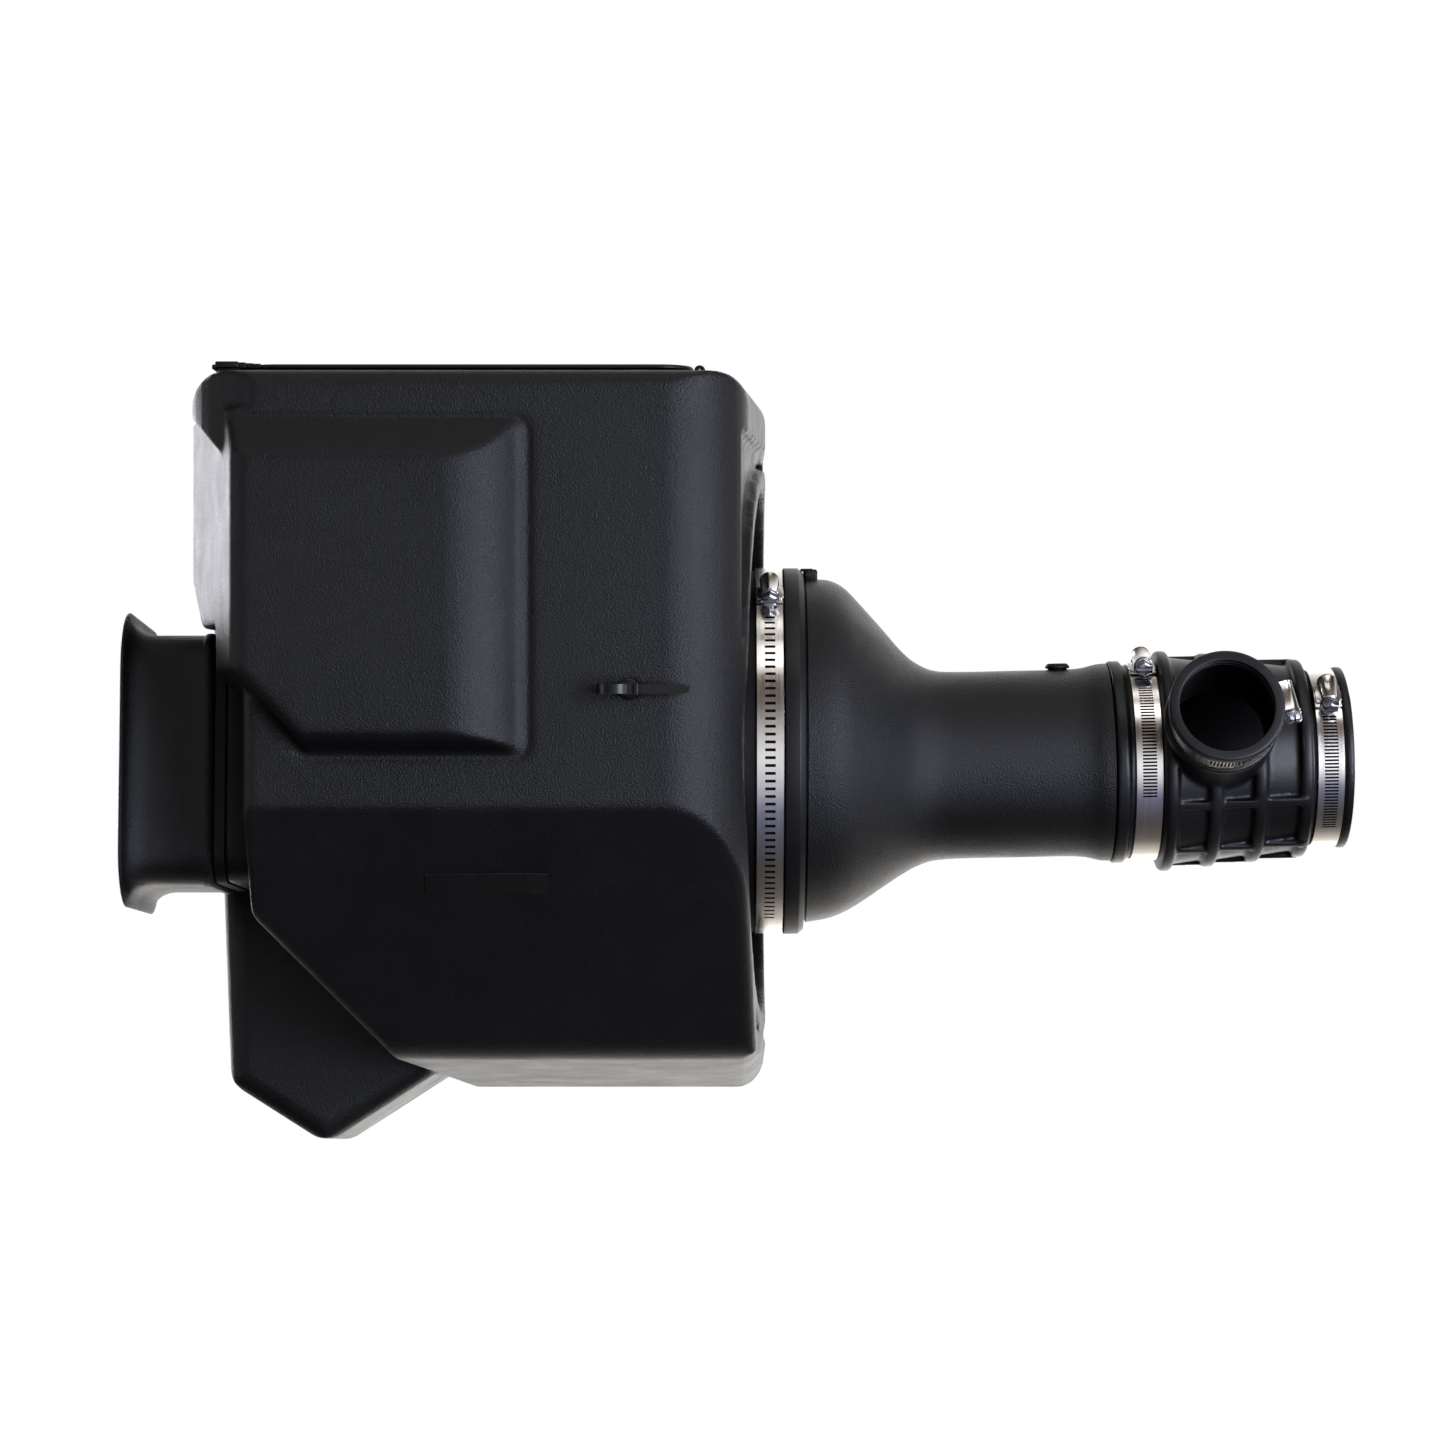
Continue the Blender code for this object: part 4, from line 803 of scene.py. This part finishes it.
def build_flange():
    """The urethane end of the filter, gripped by the box wall and the largest clamp."""
    outline = [(91.7, 70, 0.4), (91.7, 92, 1.2), (102.7, 92, 1.2), (102.7, 86.2, 0.6), (128.6, 86.2, 0.3)]
    outline += [(128.9, 87.3, 0.5), (135.7, 87.3, 0.8), (138.2, 85.1, 0.5), (138.2, 81.5, 0.3)]
    outline += [(136.9, 81.35, 0.3), (103.0, 81.35, 0.4), (103.0, 70, 0.6)]
    mesh = turned_mm(outline, 0.5, 3, ROUND, Matrix.Translation(BORE_CENTRE))
    piece("flange_ring", mesh, URETHANE, replaces=["filter_flange"])


def pleated(x, radius, thin):
    """One ring of the pleated cone, drawn in by a smooth wave for each pleat."""
    ring = []
    for k, (c, s) in enumerate(circle(PLEATS * PLEAT_STEPS)):
        wave = abs(((k / PLEAT_STEPS) % 1.0) * 2 - 1)
        wave = wave * wave * (3 - 2 * wave)
        r = radius - PLEAT_DEPTH * wave - thin
        ring.append(BORE_CENTRE + Vector((x, r * c, r * s)))
    return ring


def build_media():
    stations = in_mm([(-55, 60), (20, 70.2), (91.4, 80)])
    rings = [pleated(x, r, 0.0) for x, r in stations] + [pleated(x, r, 1.5 * MM) for x, r in stations[::-1]]
    mesh = mesh_from(loft(rings, closed=True), "pleats")
    piece("pleated_gauze", mesh, GAUZE, replaces=["filter_media"], smooth_below=60)


def wire_ring(x, radius, wire):
    outline = [(x + wire * c, radius + wire * s) for c, s in circle(8)]
    return turned(outline, 72, Matrix.Translation(BORE_CENTRE))


def build_cage():
    """Wire cage under the pleats: hoops crossed by straight wires."""
    parts = []
    wire = 0.45 * MM
    for k in range(13):
        t = k / 12
        x = (-54 + 144.6 * t) * MM
        parts.append(wire_ring(x, (50.2 + 19.8 * t) * MM, wire))
    start, end = Vector((-54.5 * MM, 49.4 * MM, 0)), Vector((91 * MM, 69.3 * MM, 0))
    for k in range(48):
        turn = Matrix.Translation(BORE_CENTRE) @ Matrix.Rotation(2 * math.pi * k / 48, 4, "X")
        parts.append(moved(rod(wire, (end - start).length, 6), turn @ along(start, end - start)))
    piece("wire_cage", joined(parts, "cage"), CAGE_STEEL, replaces=["filter_cage"])


def build_end_cap():
    outline = [(-65.3, 0.01, 0), (-65.3, 22, 0), (-64.1, 24, 0), (-64.1, 44, 0), (-65.3, 46, 0)]
    outline += [(-65.3, 63, 1.6), (-55.3, 63, 0.8), (-55.3, 0.01, 0)]
    mesh = turned_mm(outline, 1.0, 4, 96, Matrix.Translation(BORE_CENTRE))
    piece("moulded_end_cap", mesh, URETHANE, replaces=["filter_end_cap"])


# ---- tube


def axis_z(x):
    return AXIS_START.z + (x - AXIS_START.x) * math.tan(RISE)


def axial_rows(rows):
    return [(x, axis_z(x * MM) / MM, radius, RISE) for x, radius in rows]


def tube_rows():
    """(x, centre height, radius, tilt) down the bell and along the rising axis, smoothly joined."""
    rows = [(x, (top + bottom) / 2, (top - bottom) / 2, 0.0) for x, top, bottom in BELL]
    return smooth_between(rows + axial_rows(FLARE), 6)


def tube_ring(x, centre, radius, tilt):
    turn = Matrix.Translation((x * MM, BORE_Y, centre * MM)) @ Matrix.Rotation(-tilt, 4, "Y")
    return [turn @ Vector((0, radius * MM * c, radius * MM * s)) for c, s in circle(ROUND)]


def build_tube():
    """The moulded tube: its bell sits in the filter flange, and its thin end in the coupler."""
    outer = [(104.0, 0, 80.6, 0.0), (104.4, 0, 81.0, 0.0), (139.2, 0, 81.0, 0.0), (139.4, 0, 81.5, 0.0)]
    outer += tube_rows()
    outer += axial_rows([(284.0, 42.6), (284.1, 42.3), (313.4, 42.3), (314.0, 41.8)])
    wall = 3.5
    inner = [(x, centre, radius - wall, tilt) for x, centre, radius, tilt in outer if x < 280]
    inner += axial_rows([(284.0, 39.0), (313.6, 38.8), (314.0, 39.2)])
    rings = [tube_ring(*row) for row in outer + inner[::-1]]
    shell = mesh_from(loft(rings, closed=True), "tube")
    piece("tube_shell", shell, DUCT, replaces=["intake_tube"], smooth_below=42)
    body = block((138.6, -8, 78.5), (145.2, 8, 86.6), 1.2, 4)
    cap = block((137.2, -8, 85.9), (143, 8, 86.9), 0.4)
    tab = [moved(part, Matrix.Translation(BORE_CENTRE)) for part in (body, cap)]
    piece("locating_tab", joined(tab, "tab"), DUCT)


def build_plug():
    """The rubber plug in the sensor boss, with a grip slot across its dome."""
    outline = [(38.5, 0.01, 0), (38.5, 4.0, 0.4), (39.8, 5.0, 0.4), (40.8, 4.6, 0.3), (45.2, 4.6, 0.2)]
    outline += [(45.3, 5.8, 0.3), (46.4, 5.7, 0.5), (47.6, 4.5, 0.6), (47.7, 0.01, 0)]
    place = along((PLUG_X, BORE_Y, axis_z(PLUG_X)), (-math.sin(RISE), 0, math.cos(RISE)))
    dome = turned_mm(outline, 0.3, 3, 64, place)
    slot = moved(block((47, -3, -0.8), (52, 3, 0.8), 0.2, 2), place)
    mesh = boolean(dome, "DIFFERENCE", mesh_from(slot, "slot"))
    piece("boss_plug", mesh, SEAL, replaces=["sensor_plug"])


# ---- coupler


def coupler_place(s=0.0):
    start = Vector((COUPLER_X, BORE_Y, axis_z(COUPLER_X)))
    return Matrix.Translation(start) @ Matrix.Rotation(-RISE, 4, "Y") @ Matrix.Translation((s, 0, 0))


def port_place(d=0.0):
    start = Vector((PORT_X, BORE_Y, axis_z(PORT_X)))
    return along(start, (0, -math.cos(PORT_TILT), math.sin(PORT_TILT))) @ Matrix.Translation((d, 0, 0))


def coupler_outline():
    """(along, radius, fillet) outside and inside: band seats at both ends and four hoop beads between."""
    outside = [(0, 42.6, 0.4), (0, 48.2, 0.7), (5.6, 48.2, 0.7), (6.6, 46, 0.5), (21.0, 46, 0.8)]
    for s, crest in BEADS:
        base = 48.6 - 0.08 * (s - 34.5)
        first, last = s == BEADS[0][0], s == BEADS[-1][0]
        outside.append((s - BEAD_HALF, 46.4 if first else base, 1.0))
        outside.append((s - BEAD_HALF + 1, crest, 2.2))
        outside.append((s + BEAD_HALF - 1, crest, 2.2))
        outside.append((s + BEAD_HALF, 43.6 if last else base, 1.0))
    outside += [(93.6, 41.4, 0.6), (107.0, 41.4, 0.5), (107.8, 43.2, 0.6), (111.5, 43.2, 0.8)]
    inside = [(111.5, 37.9, 0.6), (88, 37.8, 2), (52, 41, 2), (31, 41, 0.5), (31, 42.6, 0.3)]
    return outside + inside


def coupler_ribs():
    """Thin ridges along the coupler that join its beads into pockets."""
    made = []
    for angle in RIB_ANGLES:
        turn = coupler_place() @ Matrix.Rotation(math.radians(angle), 4, "X")
        for start, end, root, crest in RIB_SPANS:
            rib = moved(block((start, -crest, -2), (end, -root, 2)), turn)
            made.append(mesh_from(rib, "rib"))
    return made


def build_coupler():
    """The ribbed rubber sleeve with its side port, as one skin with softened roots."""
    body = turned_mm(coupler_outline(), 1.0, 3, 108, coupler_place())
    port = [(38, 26.6), (47, 25.6), (52, 25.2), (60.4, 25.0), (61.4, 26.8), (65.2, 26.8), (65.8, 26.2)]
    port += [(65.8, 22.3), (38, 22.3)]
    port = mesh_from(turned(in_mm(port), 72, port_place()), "port")
    through = mesh_from(moved(rod(PORT_BORE_R, 40 * MM, 72), port_place(30 * MM)), "through")
    solid = boolean(body, "UNION", port, *coupler_ribs())
    solid = boolean(solid, "DIFFERENCE", through)
    skin = remeshed(solid, COUPLER_VOXEL, 7, 0.6)
    piece("coupler_skin", skin, COUPLER, replaces=["coupler"], smooth_below=60)


def build_port_mouth():
    """The end of the side port: the clamp's groove, a thick lip, and two sealing rings inside it."""
    outline = [(63.5, 22.6, 0), (63.5, 24.2, 0), (79.0, 24.2, 0.6), (79.6, 26.6, 0.8), (84.0, 26.6, 1.2)]
    outline += [(84.0, 21.9, 0.6), (82.2, 21.9, 0.4), (81.8, 23.0, 0.3), (80.4, 23.0, 0.3)]
    outline += [(80.0, 21.9, 0.4), (78.6, 21.9, 0.4), (78.2, 23.0, 0.3), (76.8, 23.0, 0.3)]
    outline += [(76.4, 22.1, 0.4), (64.5, 22.3, 0.3)]
    mesh = turned_mm(outline, 0.4, 4, ROUND, port_place())
    piece("port_mouth_ring", mesh, COUPLER)


# ---- hose clamps


def slotted_band(inner, arc, slots):
    """A steel band round X with open slots between the arc's two angles from the top, in degrees."""
    outer, half = inner + BAND_THICK, BAND_WIDTH / 2
    edge = 0.25 * MM
    pitch, slot_length, slot_width = (number * MM for number in slots)
    start, end = math.radians(arc[0]), math.radians(arc[1])
    count = int((end - start) * inner / pitch)
    step = pitch / inner
    lines = []
    for k in range(count):
        lines.append((start + k * step, False))
        lines.append((start + k * step + slot_width / inner, True))
    rest_from = start + count * step
    rest = 2 * math.pi - count * step
    plain = 70
    for k in range(plain):
        lines.append((rest_from + rest * k / plain, True))
    slot_end = slot_length / 2
    across = [(-half, outer - edge), (-half + edge, outer), (-slot_end, outer), (slot_end, outer)]
    across += [(half - edge, outer), (half, outer - edge)]
    under = [(half, inner), (slot_end, inner), (-slot_end, inner), (-half, inner)]
    section = across + under
    bm = bmesh.new()
    rows = []
    for angle, _ in lines:
        rows.append([bm.verts.new((x, -r * math.sin(angle), r * math.cos(angle))) for x, r in section])
    for k, (_, closed) in enumerate(lines):
        here, after = rows[k], rows[(k + 1) % len(rows)]
        for i in range(len(section)):
            j = (i + 1) % len(section)
            if not closed and i in (2, 7):
                continue
            bm.faces.new((here[i], here[j], after[j], after[i]))
        if not closed:
            bm.faces.new((here[2], here[8], after[8], after[2]))
            bm.faces.new((here[3], after[3], after[7], here[7]))
            bm.faces.new((here[2], here[3], here[7], here[8]))
            bm.faces.new((after[2], after[8], after[7], after[3]))
    return bm


def worm_housing(base, axis_height):
    """The pressed cover over the worm: a smooth half pipe with rolled ends, on a stepped saddle plate."""
    plate = block((-6.4, -6.6, 0), (6.4, 6.6, 0.7), 0.3, 2)
    step = block((-6.0, -4.6, 0.5), (6.0, 4.6, 1.7), 0.5)
    lugs = [block((x - 1.3, -3.0, -0.2), (x + 1.3, 3.0, 1.3), 0.45) for x in (-5.3, 5.3)]
    parts = [moved(part, Matrix.Translation((0, 0, base))) for part in (plate, step, *lugs)]
    half, bore, roll = 7.3 * MM, 3.5 * MM, 0.35 * MM
    stations = [(-half, bore, 0.5), (-half + roll, bore, 0.9), (-half + 3 * roll, bore, 0.6)]
    stations += [(half - 3 * roll, bore, 0.6), (half - roll, bore, 0.9), (half, bore, 0.5)]
    rings = []
    arch = circle(48)[:25]
    for y, inner, wall in stations:
        ring = []
        for radius, way in ((inner + wall * MM, 1), (inner, -1)):
            foot = base + 0.8 * MM
            ring.append(Vector((radius * way, y, foot)))
            ring += [Vector((radius * c, y, axis_height + radius * s)) for c, s in arch[::way]]
            ring.append(Vector((-radius * way, y, foot)))
        rings.append(ring)
    parts.append(loft(rings))
    return joined(parts, "worm_housing")


def worm(length):
    """The threaded shank along X, with a rounded-off spiral crest and plain ends."""
    pitch, root, crest = 1.9 * MM, 2.5 * MM, 3.15 * MM
    steps, turns = 96, 30
    rings = []
    for i in range(steps + 1):
        x = length * i / steps
        ring = []
        for k, (c, s) in enumerate(circle(turns)):
            phase = (x / pitch - k / turns) % 1.0
            height = min(1.0, max(0.0, 1.6 - 4.2 * abs(phase - 0.5)))
            r = root + (crest - root) * height
            if i in (0, steps):
                r = root - 0.2 * MM
            ring.append(Vector((x, r * c, r * s)))
        rings.append(ring)
    return loft(rings)


def screw_head(start):
    """A washer, a hexagon with a rounded crown, and a driver slot across it."""
    washer = filleted([(0, 0.01, 0), (0, 4.1, 0), (0.7, 4.3, 0), (1.0, 3.6, 0), (1.0, 0.01, 0)], 0.1, 2)
    washer = turned([(start + x, r) for x, r in in_mm(washer)], 40)
    rings = []
    rows = ((0.6, 4.15, 0.0), (3.4, 4.15, 0.0), (4.1, 3.75, 0.35), (4.6, 2.9, 0.8), (4.8, 1.6, 1.0))
    for x, r, crown in rows:
        ring = []
        for k in range(48):
            angle = 2 * math.pi * k / 48
            within = (angle + math.pi / 6) % (math.pi / 3) - math.pi / 6
            hexagon = math.cos(math.pi / 6) / math.cos(within)
            radius = r * MM * (hexagon * (1 - crown) + 0.95 * crown)
            ring.append(Vector((start + x * MM, radius * math.cos(angle), radius * math.sin(angle))))
        rings.append(ring)
    crown = mesh_from(loft(rings), "crown")
    slot = moved(block((3.2, -6, -0.55), (9, 6, 0.55)), Matrix.Translation((start, 0, 0)))
    cut_head = bmesh.new()
    cut_head.from_mesh(boolean(crown, "DIFFERENCE", mesh_from(slot, "slot")))
    return [washer, cut_head]


def build_clamp(name, place, seat, lean, arc, slots):
    """Band, worm housing and turning screw of one clamp round local X. Its lean and arc are in degrees."""
    inner = seat + GAP
    mesh = mesh_from(moved(slotted_band(inner, arc, slots), place), "band")
    piece(f"{name}_strap", mesh, BAND_STEEL, replaces=[f"{name}_band"], smooth_below=28)
    leaned = place @ Matrix.Rotation(math.radians(lean), 4, "X")
    base = inner + BAND_THICK + GAP
    axis_height = base + WORM_RISE
    shell = worm_housing(base, axis_height)
    shell.transform(leaned)
    piece(f"{name}_worm_cover", shell, HOUSING_STEEL, replaces=[f"{name}_housing"])
    screw = joined([worm(WORM_LENGTH), *screw_head(WORM_LENGTH + 0.1 * MM)], "screw")
    screw.transform(leaned @ along((0, 7.5 * MM, axis_height), (0, -1, 0)))
    piece(f"{name}_worm_screw", screw, SCREW_STEEL, f"{name}_worm", [f"{name}_screw"])


def build_clamps():
    """Degrees run about each clamp's own axis from the top towards the front."""
    flange = Matrix.Translation((FLANGE_CLAMP_X, BORE_Y, 0))
    tube, outlet = coupler_place(TUBE_CLAMP_ALONG), coupler_place(OUTLET_CLAMP_ALONG)
    port = port_place(PORT_CLAMP_ALONG) @ Matrix.Rotation(math.pi, 4, "Z")
    build_clamp("flange_clamp", flange, FLANGE_R, 34, (44, 155), FLANGE_SLOTS)
    build_clamp("tube_clamp", tube, TUBE_BAND_R, 22, (34, 113), SMALL_SLOTS)
    build_clamp("outlet_clamp", outlet, OUTLET_BAND_R, 48, (62, 142), SMALL_SLOTS)
    build_clamp("port_clamp", port, PORT_GROOVE_R, 76, (102, 202), SMALL_SLOTS)


# ---- cable tie


def flat_strap(lines, half):
    """A strap through rows of (outer point, inner point, share of the half width)."""
    rings = []
    for outer, inner, narrowing in lines:
        up = Vector((0, 0, half * narrowing))
        rings.append([outer - up, outer + up, inner + up, inner - up])
    return loft(rings)


def tie_loop(centre, radius, thick, half):
    lines = []
    for k in range(49):
        angle = math.radians(90 + 344 * k / 48)
        spoke = Vector((math.cos(angle) * 1.15, math.sin(angle), 0))
        lines.append((centre + spoke * (radius + thick / 2), centre + spoke * (radius - thick / 2), 1.0))
    return flat_strap(lines, half)


def tie_tail(start, length, thick, half):
    """The ridged tail, which narrows over its last tenth."""
    lines = []
    for k in range(27):
        t = k / 26
        narrowing = 1.0 if t < 0.9 else 1.0 - 0.5 * (t - 0.9) / 0.1
        middle = start + Vector((t * length, -0.4 * MM * t, 0))
        ridge = Vector((0, thick * (0.5 + (0.12 if k % 2 else 0.0)), 0))
        lines.append((middle + ridge, middle - ridge, narrowing))
    return flat_strap(lines, half)


def build_cable_tie():
    """The tie's disc, head, closed loop of strap and pointed tail, on the front of the box."""
    outline = in_mm([(0.0, 0.01), (0.0, 4.6), (0.4, 4.6), (0.9, 4.0), (1.1, 2.6), (1.1, 0.01)])
    disc = turned(outline, 48, along(TIE_AT - Vector((0, GAP, 0)), (0, -1, 0)))
    stem = moved(rod(2.3 * MM, 13 * MM, 24), along(TIE_AT + Vector((0, 12 * MM, 0)), (0, -1, 0)))
    head = moved(block((-3.6, -7.2, -3.2), (3.6, -1, 3.2), 0.7), Matrix.Translation(TIE_AT))
    mouth = moved(block((2.2, -7.8, -2.7), (4.4, -2.2, 2.7), 0.3), Matrix.Translation(TIE_AT))
    thick, half, radius = 1.0 * MM, 2.1 * MM, 6.2 * MM
    strap_at = TIE_AT - Vector((0, 4.6 * MM, 0))
    loop = tie_loop(strap_at + Vector((-6.4 * MM, thick / 2 - radius, 0)), radius, thick, half)
    tail = tie_tail(strap_at + Vector((3 * MM, 0, 0)), 24 * MM, thick, half)
    mesh = joined([disc, stem, head, mouth, loop, tail], "tie")
    piece("tie_strap", mesh, NYLON, replaces=["cable_tie"])


# ---- studio


def camera_only(name):
    """A plain white glow that the camera sees and the object's reflections don't."""
    n = material_nodes(name)
    n.join(n.add("ShaderNodeLightPath").outputs["Is Camera Ray"], n.shader.inputs["Alpha"])
    n.finish(BLACK, 1.0, Specular_IOR_Level=0.0, Emission_Color=WHITE, Emission_Strength=1.0)
    return n.owner


def stage_sheet(name, corners, material):
    mesh = bpy.data.meshes.new(name)
    mesh.from_pydata(corners, [], [(0, 1, 2, 3)])
    mesh.materials.append(material)
    linked(name, mesh)


def soft_box(name, position, size, power, colour):
    """A rectangular lamp facing the middle of the intake."""
    lamp = bpy.data.lights.new(name, "AREA")
    lamp.shape = "RECTANGLE"
    lamp.size, lamp.size_y = size
    lamp.energy = power
    lamp.color = colour
    obj = linked(name, lamp)
    obj.location = position
    obj.rotation_euler = (LIGHTS_AIM - Vector(position)).to_track_quat("-Z", "Y").to_euler()


def studio_world():
    """Soft surroundings that change round the X axis. The camera sees plain white instead."""
    world = bpy.data.worlds.new("studio")
    bpy.context.scene.world = world
    n = Nodes(world, "Background")
    toward = n.add("ShaderNodeSeparateXYZ", {"Vector": n.direction}).outputs
    turn = n.maths("ARCTAN2", toward["Z"], n.maths("MULTIPLY", toward["Y"], -1.0))
    ramp = n.add("ShaderNodeValToRGB", {"Fac": n.spread(turn, 0.0, 1.0, -math.pi, math.pi)})
    stops = ramp.color_ramp.elements
    while len(stops) < len(SURROUNDINGS):
        stops.new(0.5)
    for stop, (degrees, colour) in zip(stops, SURROUNDINGS):
        stop.position = (degrees + 180) / 360
        stop.color = (*colour, 1.0)
    sideways = n.maths("ABSOLUTE", n.maths("SUBTRACT", toward["X"], BRIGHTEST_TOWARDS))
    strength = n.spread(sideways, WORLD_STRENGTH, WORLD_STRENGTH * SIDE_DIMMING, DIM_FROM, DIM_TO)
    n.join(ramp.outputs["Color"], n.shader.inputs["Color"])
    n.join(strength, n.shader.inputs["Strength"])
    plain = n.add("ShaderNodeBackground", {"Color": WHITE}).outputs["Background"]
    camera_ray = n.add("ShaderNodeLightPath").outputs["Is Camera Ray"]
    choose = n.add("ShaderNodeMixShader", {0: camera_ray, 1: n.shader.outputs["Background"], 2: plain})
    n.join(choose.outputs["Shader"], n.tree.nodes["World Output"].inputs["Surface"])


def build_studio():
    studio_world()
    floor_z = CAD_BOX[0].z - 60 * MM
    wall_y = 2.2
    floor = ((-6, -3.5, floor_z), (6, -3.5, floor_z), (6, wall_y, floor_z), (-6, wall_y, floor_z))
    wall = ((-6, wall_y, floor_z), (6, wall_y, floor_z), (6, wall_y, 5), (-6, wall_y, 5))
    stage_sheet("floor", floor, camera_only("pale_floor"))
    stage_sheet("backdrop", wall, camera_only("white_backdrop"))
    soft_box("key_right", (1.35, -1.70, 0.12), (0.85, 1.3), 46, (0.76, 0.81, 1.0))
    soft_box("far_right", (2.15, -0.65, 0.1), (0.6, 1.3), 9, (0.80, 0.82, 1.0))
    soft_box("far_left", (-1.9, -0.9, 0.3), (0.8, 1.3), 7, (0.88, 0.88, 1.0))
    soft_box("left_back", (-1.1, 1.5, 0.3), (0.8, 1.6), 17, (0.94, 0.93, 1.0))
    soft_box("overhead", (0.1, -0.3, 1.7), (1.4, 0.4), 2, (1.0, 0.98, 0.95))
    bpy.context.scene.view_settings.view_transform = "Standard"


def build_camera():
    """At the height of the bore, looking straight at the front of the box."""
    lens = bpy.data.cameras.new("camera")
    lens.lens, lens.sensor_width = LENS, 36.0
    lens.clip_end = 100
    obj = linked("camera", lens)
    obj.location = CAMERA_AT
    obj.rotation_euler = (math.pi / 2, 0, 0)
    bpy.context.scene.camera = obj


build_housing()
build_badge()
build_hinge()
build_inserts()
build_lid()
build_scoop()
build_flange()
build_media()
build_cage()
build_end_cap()
build_tube()
build_plug()
build_coupler()
build_port_mouth()
build_clamps()
build_cable_tie()
build_studio()
build_camera()
